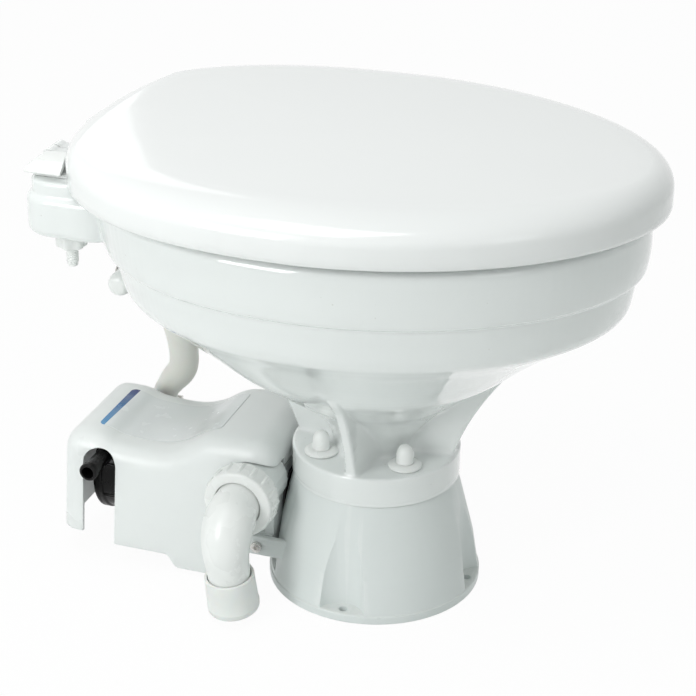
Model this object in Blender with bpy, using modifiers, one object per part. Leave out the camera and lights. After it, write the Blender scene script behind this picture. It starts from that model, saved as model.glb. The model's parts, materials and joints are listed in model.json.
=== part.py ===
"""Electric marine toilet: an oval ceramic bowl on a round pedestal, with a macerator pump behind it.

Metres, +Z up. The origin is the centre of the pedestal's underside, the bowl's front points to -Y
and the hinges and the pump are at +Y. The pump's shaft lies along Y, the discharge port along X.
"""

import math

import bmesh
import bpy
from mathutils import Matrix, Vector

# Fits and cuts
GAP = 0.0003
OVERRUN = 0.004
ROUND_STEPS = 32
MEDIUM_STEPS = 20
SMALL_STEPS = 12
SHARP_ANGLE = math.radians(40)
MERGE_DISTANCE = 0.00001

# Pedestal base
BASE_HEIGHT = 0.0885
BASE_TOP_RADIUS = 0.0613
BASE_RIM_STEP = 0.0010
BASE_RIM_RADIUS = 0.0805
BASE_RIM_HEIGHT = 0.0070
BASE_WAIST_HEIGHT = 0.0350
BASE_WAIST_TAPER = 0.0045
BASE_FLOOR = 0.0050
BASE_CHAMBER_RADIUS = 0.0560
BASE_ROOF = 0.0105
FLOOR_HOLE_INSET = 0.0069
FLOOR_HOLE_RADIUS = 0.0033
POCKET_DEPTH = 0.0145
POCKET_RADIUS = 0.0186
REAR_WALL = 0.0080
REAR_FACE_BOTTOM = 0.0100
PORT_RADIUS = 0.0200
EAR_THICKNESS = 0.0050
EAR_STANDOFF = 0.0080
EAR_HALF_HEIGHT = 0.0080
EAR_ROOT = 0.0160
EAR_REACH = 0.0200
EAR_ROUNDING = 0.0040

# Bowl
GASKET_THICKNESS = 0.0011
FLANGE_STEP = 0.0017
FLANGE_THICKNESS = 0.0218
FLANGE_ROUNDING = 0.0030
OUTLET_RADIUS = 0.0240
NECK_RADIUS = 0.0325
BOWL_HEIGHT = 0.2238
BOWL_FRONT_REACH = 0.1930
BOWL_REAR_REACH = 0.2020
RIM_FRONT_OPENING = 0.1570
RIM_REAR_OPENING = 0.1520
BOWL_SQUARING_SHARE = 0.71
BOWL_FRONT_POWER = 1.86
BOWL_REAR_POWER = 2.30
BOWL_CENTRE = 0.0140
BOWL_POINTS = 40
# Height between the flange's top and the rim's top, and how far the wall has gone from the neck's
# radius to its full reach, in front and behind.
BOWL_OUTER_SHARES = (
    (0.00, 0.000, 0.000),
    (0.05, 0.006, 0.006),
    (0.11, 0.045, 0.050),
    (0.18, 0.120, 0.130),
    (0.24, 0.215, 0.235),
    (0.30, 0.310, 0.345),
    (0.36, 0.420, 0.460),
    (0.46, 0.575, 0.610),
    (0.545, 0.730, 0.735),
    (0.595, 0.840, 0.810),
    (0.635, 0.905, 0.865),
    (0.685, 0.935, 0.900),
    (0.782, 0.950, 0.925),
    (0.800, 0.985, 0.965),
    (0.88, 1.000, 0.985),
    (0.975, 0.995, 1.000),
    (0.994, 0.975, 0.980),
    (1.00, 0.950, 0.955),
)
BOWL_INNER_SHARES = (
    (1.00, 1.020, 1.020),
    (0.985, 1.000, 1.000),
    (0.92, 1.000, 1.000),
    (0.895, 1.090, 1.080),
    (0.75, 1.090, 1.080),
    (0.635, 1.030, 1.010),
    (0.545, 0.820, 0.830),
    (0.46, 0.630, 0.660),
    (0.36, 0.430, 0.460),
    (0.24, 0.215, 0.235),
    (0.14, 0.090, 0.095),
    (0.05, 0.010, 0.010),
)

# Ribs between the neck and the flange
RIB_EDGE_THICKNESS = 0.0062
RIB_ROOT_THICKNESS = 0.0150
RIB_WAIST_REACH_SHARE = 0.285
RIB_WAIST_HEIGHT_SHARE = 0.40
RIB_TOP_HEIGHT = 0.0800
RIB_ROOT_RISE = 0.0050
RIB_MIDDLE_HEIGHT_SHARE = 0.34
RIB_UPPER_HEIGHT_SHARE = 0.72
RIB_SINK = 0.0030

# Rear shelf with its raised hinge platform
SHELF_SIDE_MARGIN = 0.0070
SHELF_LENGTH = 0.0740
SHELF_OVERHANG = 0.0070
SHELF_THICKNESS = 0.0310
SHELF_DROP = 0.0080
SHELF_CORNER = 0.0230
SHELF_ROUNDING = 0.0060
PLATFORM_INSET = 0.0040
PLATFORM_LENGTH = 0.0490
PLATFORM_RISE = 0.0100
PLATFORM_ROUNDING = 0.0015

# Bowl bolts and their caps
BOLT_CIRCLE_SHARE = 0.436
BOLT_RADIUS = 0.0025
BOLT_DEPTH = 0.0160
BOLT_TIP_ROOM = 0.0010
BOLT_HEAD_RADIUS = 0.0045
BOLT_HEAD_HEIGHT = 0.0035
BOLT_BOSS_RADIUS = 0.0070
BOLT_BOSS_DEPTH = 0.0120
BOLT_HOLE_CLEARANCE = 0.0007
CAP_BASE_SHARE = 0.41
CAP_BASE_THICKNESS = 0.0030
CAP_RADIUS = 0.0065
CAP_HEIGHT = 0.0140
CAP_WALL = 0.0012
DOME_STEPS = 3
HEX_SIDES = 6

# Lid
LID_CLEARANCE = 0.0046
LID_OVERHANG = 0.0120
LID_SIDE_OVERHANG = 0.0090
LID_REAR_OVERHANG = 0.0176
LID_HALF_WIDTH = 0.1700
LID_CENTRE = 0.0180
LID_FRONT_POWER = 1.86
LID_REAR_POWER = 2.42
LID_SIDE_HEIGHT = 0.0322
LID_CROWN = 0.0012
LID_ROUNDING = 0.0175
LID_PANEL_FRONT_INSET = 0.0165
LID_PANEL_SIDE_INSET = 0.0330
LID_PANEL_REAR_INSET = 0.0300
LID_LIP = 0.0020
LID_LIP_HEIGHT = 0.0040
LID_WALL = 0.0040
LID_POINTS = 44
LID_ROUNDING_STEPS = 4
# How large each ring of the crown is beside the lid's top panel, and how far it has risen.
LID_CROWN_STEPS = ((0.82, 0.65), (0.58, 1.00))

# Seat
SEAT_LIFT = 0.0007
SEAT_THICKNESS = 0.0150
SEAT_INSET = 0.0080
SEAT_OPENING_INSET = 0.0620
SEAT_EDGE_HEIGHT_SHARE = 0.65
SEAT_SHOULDER_SHARE = 0.90
SEAT_SLOPE_SHARE = 0.14
BUFFER_RADIUS = 0.0070
LID_BUFFER_INSET = 0.0330
LID_BUFFER_TURN = math.radians(62)
SEAT_BUFFER_TURNS = (math.radians(50), math.radians(130), math.radians(-38), math.radians(-142))

# Hinges
HINGE_SETBACK = 0.0164
HINGE_RISE = 0.0060
PIN_RADIUS = 0.0025
ARM_HALF_HEIGHT = 0.0036
ARM_BOSS_RADIUS = 0.0052
ARM_WIDTH = 0.0100
SEAT_ARM_X = 0.0250
ARM_SPACING = 0.0015
NOTCH_CLEARANCE = 0.0010
LID_ARM_SINK = 0.0061
SEAT_ARM_SINK = 0.0116
POST_LENGTH = 0.0120
POST_SPACING = 0.0035
POST_WIDTH = 0.0210
POST_EYE_RADIUS = 0.0042
POST_FOOT_LENGTH = 0.0320
POST_FOOT_THICKNESS = 0.0019
HINGE_CAP_ROOF = 0.0025
HINGE_CAP_LIFT = 0.0040
HINGE_CAP_OUTER_MARGIN = 0.0090
HINGE_CAP_INNER_MARGIN = 0.0020
HINGE_CAP_INNER_LENGTH = 0.0255
HINGE_CAP_OUTER_LENGTH = 0.0325
HINGE_CAP_REAR_MARGIN = 0.0075
HINGE_CAP_EAVES = 0.0030
HINGE_CAP_SIDE_SLOPE = 0.0090
HINGE_CAP_REAR_SLOPE = 0.0060
HINGE_BOLT_SETBACK = 0.0222
HINGE_BOLT_RADIUS = 0.0040
HINGE_BOLT_HEAD_RADIUS = 0.0062
HINGE_BOLT_HEAD_HEIGHT = 0.0022
HINGE_BOLT_DROP = 0.0290
HINGE_BOLT_TIP_SHARE = 0.75
HINGE_NUT_RADIUS = 0.0115
HINGE_NUT_HEIGHT = 0.0135
HINGE_NUT_FLANGE = 0.0020

# Pump line: everything on the motor's shaft
SHAFT_Z = 0.0550
SHAFT_RADIUS = 0.0040
SHAFT_NOSE_SETBACK = 0.0005
SEAL_THICKNESS = 0.0014
PLATE_HALF_WIDTH = 0.0440
PLATE_DROP = 0.0330
PLATE_RISE = 0.0320
PLATE_THICKNESS = 0.0070
BARREL_WALL = 0.0060
BARREL_LENGTH = 0.0300
CHAMBER_RADIUS = 0.0300
BLADE_RADIUS = 0.0170
BLADE_THICKNESS = 0.0030
BLADE_WIDTH = 0.0100
BLADE_HUB_RADIUS = 0.0080
CHOPPER_THICKNESS = 0.0020
CHOPPER_HOLE_RADIUS = 0.0055
CHOPPER_HOLE_CIRCLE = 0.0180
CHOPPER_HOLES = 6
CHOPPER_HOLE_STEPS = 8
IMPELLER_START_CLEARANCE = 0.0020
IMPELLER_END_CLEARANCE = 0.0050
IMPELLER_HUB_RADIUS = 0.0090
IMPELLER_TIP_CLEARANCE = 0.0030
VANE_THICKNESS = 0.0035
VANES = 4
ADAPTER_STEP = 0.0010
ADAPTER_THICKNESS = 0.0060
SHAFT_SEAL_RADIUS = 0.0100
SHAFT_SEAL_DEPTH = 0.0044
CAN_RADIUS = 0.0310
CAN_ENDS_LENGTH = 0.1040
CAN_WALL = 0.0020
ARMATURE_RADIUS = 0.0200
ARMATURE_MARGIN = 0.0080
BELL_THICKNESS = 0.0060
LUG_SINK = 0.0080
LUG_STANDOFF = 0.0025
SCREW_SETBACK = 0.0125
SCREW_DROP = 0.0220
SCREW_RADIUS = 0.0020
SCREW_HEAD_RADIUS = 0.0042
SCREW_HEAD_HEIGHT = 0.0030
SCREW_LENGTH = 0.0110

# Discharge side
DISCHARGE_SETBACK = 0.0085
DISCHARGE_RISE = 0.0265
STUB_RADIUS = 0.0210
STUB_LENGTH = 0.0430
STUB_ROOT_X = 0.0280
STUB_BORE = 0.0125
STUB_BORE_DEPTH = 0.0130
NUT_RADIUS = 0.0274
NUT_OVERLAP = 0.0110
NUT_LENGTH = 0.0190
NUT_LIP = 0.0035
NUT_LIP_RADIUS = 0.0182
NUT_RIBS = 16
NUT_RIB_DEPTH = 0.0012
NUT_RIB_WIDTH = 0.0030
VALVE_FLANGE = 0.0012
VALVE_RADIUS = 0.0180
VALVE_BORE = 0.0110
VALVE_WALL = 0.0020
VALVE_LENGTH = 0.0120
VALVE_MOUTH = 0.0045
ELBOW_FLANGE_DEPTH = 0.0019
ELBOW_FLANGE_THICKNESS = 0.0024
ELBOW_STRAIGHT = 0.0060
ELBOW_FLANGE_RADIUS = 0.0206
ELBOW_RADIUS = 0.0173
ELBOW_END_RADIUS = 0.0158
ELBOW_BORE = 0.0132
ELBOW_BEND = 0.0230
ELBOW_LEG = 0.0360
ELBOW_TILT = math.radians(5)
ELBOW_BEND_STEPS = 8
CUFF_OVERLAP = 0.0130
CUFF_RADIUS = 0.0185
CUFF_END_RADIUS = 0.0193
CUFF_LENGTH = 0.0295
CUFF_BORE = 0.0140
CUFF_SOCKET_CLEARANCE = 0.0006

# Rinse pump
RINSE_RADIUS = 0.0370
RINSE_LENGTH = 0.0277
RINSE_FRONT_WALL = 0.0057
RINSE_CHAMBER_RADIUS = 0.0270
RINSE_HUB_RADIUS = 0.0100
RINSE_VANES = 6
RINSE_VANE_THICKNESS = 0.0030
RINSE_COVER_THICKNESS = 0.0037
RINSE_PORT_SETBACK = 0.0168
INTAKE_RISE = 0.0280
INTAKE_REACH = 0.0160
TUBE_RADIUS = 0.0063
TUBE_BORE = 0.0045
TUBE_ROOT_X = 0.0150
BORE_ROOT_X = 0.0050
OUTLET_RISE = 0.0030
OUTLET_REACH = 0.0140
OUTLET_RISER = 0.0190
OUTLET_ROOT_X = 0.0300

# Motor cover
COVER_MARGIN = 0.0060
COVER_DRAFT_SHARE = 0.05
COVER_WALL = 0.0030
COVER_ROUNDING = 0.0170
COVER_LENGTH = 0.1750
COVER_SETBACK = 0.0010
COVER_REAR_LEAN = 0.0040
COVER_ROOM = 0.0250
COVER_HUMP_LENGTH = 0.0390
COVER_HUMP_FOOT_LENGTH = 0.0550
COVER_HUMP_FOOT_DROP = 0.0030
COVER_DIP_START_LENGTH = 0.0750
COVER_DIP_START_DROP = 0.0150
COVER_DIP_FRONT_LENGTH = 0.0930
COVER_DIP_FRONT_DROP = 0.0205
COVER_DIP_REAR_LENGTH = 0.0480
COVER_DIP_REAR_DROP = 0.0195
COVER_REAR_FLAT_LENGTH = 0.0340
COVER_REAR_DROP = 0.0150
COVER_STEP_LENGTH = 0.0750
COVER_STEP_RUN = 0.0100
COVER_BOTTOM_FRONT = 0.0040
COVER_BOTTOM_REAR = 0.0140
COVER_SIDE_SETBACK = 0.0410
COVER_FRONT_WALL_RISE = 0.0085
PORT_ARCH_RADIUS = 0.0255
SLOT_HALF_WIDTH = 0.0135
SLOT_ARCH_DROP = 0.0035
COVER_POST_RADIUS = 0.0050
POST_SINK = 0.0060
COVER_POST_SETBACK = 0.0130
COVER_REAR_POST_SETBACK = 0.0040
LABEL_HALF_WIDTH = 0.0340
LABEL_LENGTH = 0.1010
LABEL_SETBACK = 0.0265
LABEL_THICKNESS = 0.0006

# Rinse inlet and flush hose
INLET_X = -0.0440
INLET_BODY_REACH = 0.0122
INLET_SETBACK = 0.0520
INLET_HEIGHT_SHARE = 0.582
INLET_BODY_RADIUS = 0.0078
INLET_SPIGOT_LENGTH = 0.0280
INLET_BARB_LENGTH = 0.0290
GROMMET_OUTER = 0.0095
GROMMET_LENGTH = 0.0150
GROMMET_SETBACK = 0.0160
INLET_HOLE_DEPTH = 0.0700
HOSE_RADIUS = 0.0102
HOSE_WALL_CLEARANCE = 0.0008
CLAMP_WIDTH = 0.0080
CLAMP_THICKNESS = 0.0012
CLAMP_INSET = 0.0025
HOSE_STEPS_PER_SPAN = 3
HOSE_BEVEL_RESOLUTION = 3
# How far each point of the hose has gone across, forward and up from the pump's outlet to the inlet.
HOSE_SHARES = (
    (0.000, 0.000, 0.000),
    (0.000, 0.000, 0.058),
    (0.000, 0.020, 0.115),
    (0.001, 0.260, 0.182),
    (0.007, 0.775, 0.276),
    (0.024, 1.025, 0.420),
    (0.092, 0.925, 0.603),
    (0.270, 0.725, 0.809),
    (0.512, 0.725, 0.936),
    (0.715, 0.875, 0.987),
    (0.870, 0.995, 1.000),
    (1.000, 1.000, 1.000),
)

# Heights and places that follow from the sizes above
BASE_FOOT_RADIUS = BASE_RIM_RADIUS - BASE_RIM_STEP
BASE_WAIST_RADIUS = BASE_FOOT_RADIUS - BASE_WAIST_TAPER
FLOOR_HOLE_REACH = BASE_RIM_RADIUS - FLOOR_HOLE_INSET
POCKET_DEPTH_REACH = BASE_RIM_RADIUS - POCKET_DEPTH
REAR_FACE = BASE_CHAMBER_RADIUS + REAR_WALL
EAR_START = REAR_FACE - EAR_ROOT
EAR_END = REAR_FACE + EAR_REACH
EAR_HALF_WIDTH = PLATE_HALF_WIDTH + EAR_STANDOFF
SCREW_Y = REAR_FACE + SCREW_SETBACK
SCREW_Z = SHAFT_Z - SCREW_DROP
EAR_BOTTOM = SCREW_Z - EAR_HALF_HEIGHT
EAR_TOP = SCREW_Z + EAR_HALF_HEIGHT
LUG_FRONT = REAR_FACE + LUG_STANDOFF
LUG_INNER_X = PLATE_HALF_WIDTH - LUG_SINK

BOWL_BOTTOM = BASE_HEIGHT + 2 * GAP + GASKET_THICKNESS
FLANGE_TOP = BOWL_BOTTOM + FLANGE_THICKNESS
FLANGE_RADIUS = BASE_TOP_RADIUS + FLANGE_STEP
RIM_TOP = BOWL_BOTTOM + BOWL_HEIGHT
BOWL_HALF_WIDTH = LID_HALF_WIDTH - LID_SIDE_OVERHANG
BOWL_WIDTH_SHARE = 2 * BOWL_HALF_WIDTH / (BOWL_FRONT_REACH + BOWL_REAR_REACH)
BOLT_CIRCLE = NECK_RADIUS + (FLANGE_RADIUS - NECK_RADIUS) * BOLT_CIRCLE_SHARE
CAP_BASE_RADIUS = (FLANGE_RADIUS - NECK_RADIUS) * CAP_BASE_SHARE

LID_BOTTOM = RIM_TOP + LID_CLEARANCE
LID_FRONT = BOWL_FRONT_REACH + LID_OVERHANG
LID_REAR = BOWL_REAR_REACH + LID_REAR_OVERHANG
SEAT_BOTTOM = LID_BOTTOM + SEAT_LIFT
SEAT_TOP = SEAT_BOTTOM + SEAT_THICKNESS

SHELF_TOP = RIM_TOP - SHELF_DROP
SHELF_BOTTOM = SHELF_TOP - SHELF_THICKNESS
PLATFORM_TOP = SHELF_TOP + PLATFORM_RISE
HINGE_Y = LID_REAR + HINGE_SETBACK
HINGE_Z = PLATFORM_TOP + HINGE_RISE
LID_ARM_ROOT = LID_REAR - LID_ARM_SINK
SEAT_ARM_ROOT = LID_REAR - SEAT_INSET - SEAT_ARM_SINK
LID_ARM_X = SEAT_ARM_X + ARM_WIDTH + ARM_SPACING
POST_INNER_X = LID_ARM_X + ARM_WIDTH + POST_SPACING
POST_OUTER_X = POST_INNER_X + POST_WIDTH
POST_FRONT = HINGE_Y - POST_LENGTH
POST_FOOT_FRONT = HINGE_Y - POST_FOOT_LENGTH
POST_TOP = HINGE_Z + POST_EYE_RADIUS
HINGE_CAP_TOP = POST_TOP + GAP + HINGE_CAP_ROOF
HINGE_CAP_BOTTOM = PLATFORM_TOP + HINGE_CAP_LIFT
HINGE_CAP_OUTER_X = POST_OUTER_X + HINGE_CAP_OUTER_MARGIN
HINGE_CAP_INNER_X = POST_INNER_X - HINGE_CAP_INNER_MARGIN
HINGE_CAP_REAR = HINGE_Y + HINGE_CAP_REAR_MARGIN
HINGE_CAP_FRONT_INNER = HINGE_CAP_REAR - HINGE_CAP_INNER_LENGTH
HINGE_CAP_FRONT_OUTER = HINGE_CAP_REAR - HINGE_CAP_OUTER_LENGTH
HINGE_BOLT_X = (POST_INNER_X + POST_OUTER_X) / 2
HINGE_BOLT_Y = HINGE_Y - HINGE_BOLT_SETBACK
HINGE_BOLT_END = SHELF_BOTTOM - HINGE_BOLT_DROP
SHELF_HALF_WIDTH = HINGE_CAP_OUTER_X + SHELF_SIDE_MARGIN
SHELF_REAR = HINGE_Y + SHELF_OVERHANG
SHELF_FRONT = SHELF_REAR - SHELF_LENGTH
PLATFORM_REAR = SHELF_REAR - PLATFORM_INSET
PLATFORM_FRONT = PLATFORM_REAR - PLATFORM_LENGTH

PLATE_FRONT = REAR_FACE + 2 * GAP + SEAL_THICKNESS
PLATE_BACK = PLATE_FRONT + PLATE_THICKNESS
PLATE_BOTTOM = SHAFT_Z - PLATE_DROP
PLATE_TOP = SHAFT_Z + PLATE_RISE
BARREL_RADIUS = CHAMBER_RADIUS + BARREL_WALL
BARREL_END = PLATE_BACK + BARREL_LENGTH
IMPELLER_RADIUS = CHAMBER_RADIUS - IMPELLER_TIP_CLEARANCE
ADAPTER_RADIUS = BARREL_RADIUS + ADAPTER_STEP
CAN_START = BARREL_END + 2 * GAP + ADAPTER_THICKNESS
CAN_LENGTH = COVER_LENGTH - CAN_ENDS_LENGTH
CAN_END = CAN_START + CAN_LENGTH
BELL_START = CAN_END + GAP
RINSE_START = BELL_START + BELL_THICKNESS + GAP
RINSE_END = RINSE_START + RINSE_LENGTH
BORE_RADIUS = SHAFT_RADIUS + GAP
SHAFT_START = PLATE_FRONT + SHAFT_NOSE_SETBACK
DISCHARGE_Y = PLATE_BACK + DISCHARGE_SETBACK
DISCHARGE_Z = SHAFT_Z + DISCHARGE_RISE
STUB_END_X = STUB_ROOT_X + STUB_LENGTH
STUB_BORE_ROOT_X = STUB_ROOT_X - STUB_BORE_DEPTH
NUT_START_X = STUB_END_X - NUT_OVERLAP

COVER_HALF_WIDTH = EAR_HALF_WIDTH + COVER_MARGIN
COVER_FRONT = REAR_FACE + COVER_SETBACK
COVER_REAR = COVER_FRONT + COVER_LENGTH
COVER_HUMP_END = COVER_FRONT + COVER_HUMP_LENGTH
COVER_HUMP_FOOT = COVER_FRONT + COVER_HUMP_FOOT_LENGTH
COVER_DIP_START = COVER_FRONT + COVER_DIP_START_LENGTH
COVER_DIP_FRONT = COVER_FRONT + COVER_DIP_FRONT_LENGTH
COVER_DIP_REAR = COVER_REAR - COVER_DIP_REAR_LENGTH
COVER_REAR_FLAT = COVER_REAR - COVER_REAR_FLAT_LENGTH
COVER_FRONT_TOP = SHAFT_Z + ADAPTER_RADIUS + COVER_ROOM
COVER_HUMP_FOOT_Z = COVER_FRONT_TOP - COVER_HUMP_FOOT_DROP
COVER_DIP_START_Z = COVER_FRONT_TOP - COVER_DIP_START_DROP
COVER_DIP_FRONT_Z = COVER_FRONT_TOP - COVER_DIP_FRONT_DROP
COVER_DIP_REAR_Z = COVER_FRONT_TOP - COVER_DIP_REAR_DROP
COVER_REAR_TOP = COVER_FRONT_TOP - COVER_REAR_DROP
COVER_STEP_FRONT = COVER_FRONT + COVER_STEP_LENGTH
COVER_STEP_REAR = COVER_STEP_FRONT + COVER_STEP_RUN
COVER_SIDE_START = COVER_FRONT + COVER_SIDE_SETBACK
COVER_FRONT_WALL_BOTTOM = DISCHARGE_Z + COVER_FRONT_WALL_RISE
LABEL_REAR = COVER_REAR - LABEL_SETBACK
LABEL_FRONT = LABEL_REAR - LABEL_LENGTH

RINSE_PORT_Y = RINSE_START + RINSE_PORT_SETBACK
INTAKE_Z = SHAFT_Z + INTAKE_RISE
INTAKE_END_X = COVER_HALF_WIDTH + INTAKE_REACH
OUTLET_X = COVER_HALF_WIDTH + OUTLET_REACH
OUTLET_Z = SHAFT_Z + OUTLET_RISE
OUTLET_TOP = OUTLET_Z + OUTLET_RISER
SLOT_ARCH_Z = INTAKE_Z - SLOT_ARCH_DROP
COVER_POST_Y = BARREL_END - COVER_POST_SETBACK
COVER_REAR_POST_Y = RINSE_PORT_Y - COVER_REAR_POST_SETBACK
INLET_Y = HINGE_Y - INLET_SETBACK
INLET_Z = FLANGE_TOP + (RIM_TOP - FLANGE_TOP) * INLET_HEIGHT_SHARE
INLET_SPIGOT_END = INLET_Y - INLET_SPIGOT_LENGTH
GROMMET_END = INLET_Y - GROMMET_SETBACK
GROMMET_START = GROMMET_END - GROMMET_LENGTH
LEFT = -1
RIGHT = 1


def collection(name):
    """A new collection in the scene."""
    made = bpy.data.collections.new(name)
    bpy.context.scene.collection.children.link(made)
    return made


def material(name, colour, roughness, metallic=0.0):
    """A plain Principled material."""
    made = bpy.data.materials.new(name)
    made.use_nodes = True
    shader = made.node_tree.nodes["Principled BSDF"]
    shader.inputs["Base Color"].default_value = (*colour, 1.0)
    shader.inputs["Roughness"].default_value = roughness
    shader.inputs["Metallic"].default_value = metallic
    return made


def add_object(name, data, finish, place=(0, 0, 0), turn=(0, 0, 0)):
    """An object of the part, in its own collection, at a place."""
    made = bpy.data.objects.new(name, data)
    made.location = place
    made.rotation_euler = turn
    PARTS.objects.link(made)
    data.materials.append(finish)
    if isinstance(data, bpy.types.Mesh):
        data.shade_smooth()
        data.set_sharp_from_angle(angle=SHARP_ANGLE)
    return made


def hide_as_tool(obj):
    """Turns an object into a hidden cutter or a hidden piece to join."""
    obj.hide_render = True
    obj.display_type = "WIRE"
    for owner in list(obj.users_collection):
        owner.objects.unlink(obj)
    TOOLS.objects.link(obj)
    return obj


def combine(obj, tool, operation):
    """Cuts or joins a hidden tool with a Boolean modifier."""
    step = obj.modifiers.new(tool.name, "BOOLEAN")
    step.operation = operation
    step.object = hide_as_tool(tool)
    return obj


def cut(obj, tool):
    return combine(obj, tool, "DIFFERENCE")


def join(obj, tool):
    return combine(obj, tool, "UNION")


def bevel(obj, width, segments=2):
    """Rounds the edges that turn by more than the sharp angle."""
    step = obj.modifiers.new("rounding", "BEVEL")
    step.width = width
    step.segments = segments
    step.limit_method = "ANGLE"
    step.angle_limit = SHARP_ANGLE
    return obj


def mesh_of(name, shape):
    """Writes a bmesh to a new mesh."""
    data = bpy.data.meshes.new(name)
    shape.to_mesh(data)
    shape.free()
    return data


def turned(name, profile, finish, place=(0, 0, 0), turn=(0, 0, 0), steps=ROUND_STEPS):
    """Turns a profile of (radius, height) that runs down its outer side. It closes into a ring where
    it doesn't start and end on the axis."""
    shape = bmesh.new()
    points = [shape.verts.new((radius, 0, height)) for radius, height in profile]
    for start, end in zip(points, points[1:]):
        shape.edges.new((start, end))
    if profile[0][0] > 0:
        shape.edges.new((points[-1], points[0]))
    made = add_object(name, mesh_of(name, shape), finish, place, turn)
    screw = made.modifiers.new("turning", "SCREW")
    screw.steps = steps
    screw.render_steps = steps
    screw.use_merge_vertices = True
    screw.merge_threshold = MERGE_DISTANCE
    screw.use_smooth_shade = True
    return made


def disc(radius, bottom, top):
    """The profile of a plain disc."""
    return [(0, top), (radius, top), (radius, bottom), (0, bottom)]


def ring(outer, inner, bottom, top):
    """The profile of a plain ring."""
    return [(outer, top), (outer, bottom), (inner, bottom), (inner, top)]


def boxes(name, extents, finish):
    """One mesh of separate boxes, each from its low corner to its high corner."""
    shape = bmesh.new()
    for low, high in extents:
        low, high = Vector(low), Vector(high)
        size = Matrix.Diagonal((*(high - low), 1))
        bmesh.ops.create_cube(shape, size=1, matrix=Matrix.Translation((low + high) / 2) @ size)
    return add_object(name, mesh_of(name, shape), finish)


def round_uprights(obj, radius, segments=5):
    """Rounds a box's upright edges in its mesh."""
    shape = bmesh.new()
    shape.from_mesh(obj.data)
    uprights = [
        edge
        for edge in shape.edges
        if abs(edge.verts[0].co.x - edge.verts[1].co.x) < MERGE_DISTANCE
        and abs(edge.verts[0].co.y - edge.verts[1].co.y) < MERGE_DISTANCE
    ]
    bmesh.ops.bevel(
        shape, geom=uprights, offset=radius, segments=segments, affect="EDGES", profile=0.5
    )
    shape.to_mesh(obj.data)
    shape.free()
    return obj


def rods(name, places, finish, steps=MEDIUM_STEPS):
    """One mesh of separate cylinders, each as (start, end, radius)."""
    shape = bmesh.new()
    for start, end, radius in places:
        start, end = Vector(start), Vector(end)
        along = end - start
        turn = along.to_track_quat("Z", "Y").to_matrix().to_4x4()
        bmesh.ops.create_cone(
            shape,
            cap_ends=True,
            segments=steps,
            radius1=radius,
            radius2=radius,
            depth=along.length,
            matrix=Matrix.Translation((start + end) / 2) @ turn,
        )
    return add_object(name, mesh_of(name, shape), finish)


def loft(name, rings, finish, closed):
    """Skins rings of points from the first to the last. A closed loft returns to its first ring, and
    an open one is capped at both ends."""
    shape = bmesh.new()
    rows = [[shape.verts.new(point) for point in points] for points in rings]
    pairs = list(zip(rows, rows[1:]))
    if closed:
        pairs.append((rows[-1], rows[0]))
    else:
        shape.faces.new(reversed(rows[0]))
        shape.faces.new(rows[-1])
    for lower, upper in pairs:
        for spot in range(len(lower)):
            after = (spot + 1) % len(lower)
            shape.faces.new((lower[spot], lower[after], upper[after], upper[spot]))
    return add_object(name, mesh_of(name, shape), finish)


def blend(start, end, share):
    return start + (end - start) * share


def ease(share):
    """A share that starts and ends gently."""
    share = min(max(share, 0.0), 1.0)
    return share * share * (3 - 2 * share)


def oval_point(turn, front, rear, half_width, centre, powers):
    """A point of an oval with its own reach and fullness in front of and behind its widest place."""
    power = powers[0] if math.sin(turn) < 0 else powers[1]
    reach = centre + front if math.sin(turn) < 0 else rear - centre
    across = math.copysign(abs(math.cos(turn)) ** (2 / power), math.cos(turn))
    along = math.copysign(abs(math.sin(turn)) ** (2 / power), math.sin(turn))
    return half_width * across, centre + reach * along


def oval(count, height, *sizes):
    """The points of an oval at a height, counted anticlockwise from above."""
    turns = [math.tau * spot / count for spot in range(count)]
    return [(*oval_point(turn, *sizes), height) for turn in turns]


def lid_outline(inset):
    """The lid's outline, drawn in by an inset, as the sizes of an oval."""
    powers = (LID_FRONT_POWER, LID_REAR_POWER)
    return LID_FRONT - inset, LID_REAR - inset, LID_HALF_WIDTH - inset, LID_CENTRE, powers


def lid_panel_point(turn):
    """A point on the edge of the lid's top panel, which ends in a straight line behind."""
    sizes = (LID_FRONT - LID_PANEL_FRONT_INSET, LID_REAR, LID_HALF_WIDTH - LID_PANEL_SIDE_INSET)
    x, y = oval_point(turn, *sizes, LID_CENTRE, (LID_FRONT_POWER, LID_REAR_POWER))
    return Vector((x, min(y, LID_REAR - LID_PANEL_REAR_INSET)))


def lid_shoulder(wall):
    """The lid's rounded shoulder, as how far it has gone toward the panel and its height."""
    flat = LID_BOTTOM + LID_SIDE_HEIGHT - LID_ROUNDING
    turns = [math.pi / 2 * step / LID_ROUNDING_STEPS for step in range(LID_ROUNDING_STEPS + 1)]
    return [(1 - math.cos(turn), flat + (LID_ROUNDING - wall) * math.sin(turn)) for turn in turns]


def lid_rings(wall):
    """The lid's rings from its skirt to its crown, at a depth below the skin."""
    rings = [
        oval(LID_POINTS, LID_BOTTOM, *lid_outline(LID_LIP + wall)),
        oval(LID_POINTS, LID_BOTTOM + LID_LIP_HEIGHT, *lid_outline(wall)),
    ]
    turns = [math.tau * spot / LID_POINTS for spot in range(LID_POINTS)]
    outline = [Vector(oval_point(turn, *lid_outline(wall))) for turn in turns]
    panel = [lid_panel_point(turn) for turn in turns]
    for share, height in lid_shoulder(wall):
        rings.append([(*near.lerp(far, share), height) for near, far in zip(outline, panel)])
    centre = Vector((0, LID_CENTRE))
    for size, rise in LID_CROWN_STEPS:
        height = LID_BOTTOM + LID_SIDE_HEIGHT - wall + LID_CROWN * rise
        rings.append([(*centre.lerp(point, size), height) for point in panel])
    return rings


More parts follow.
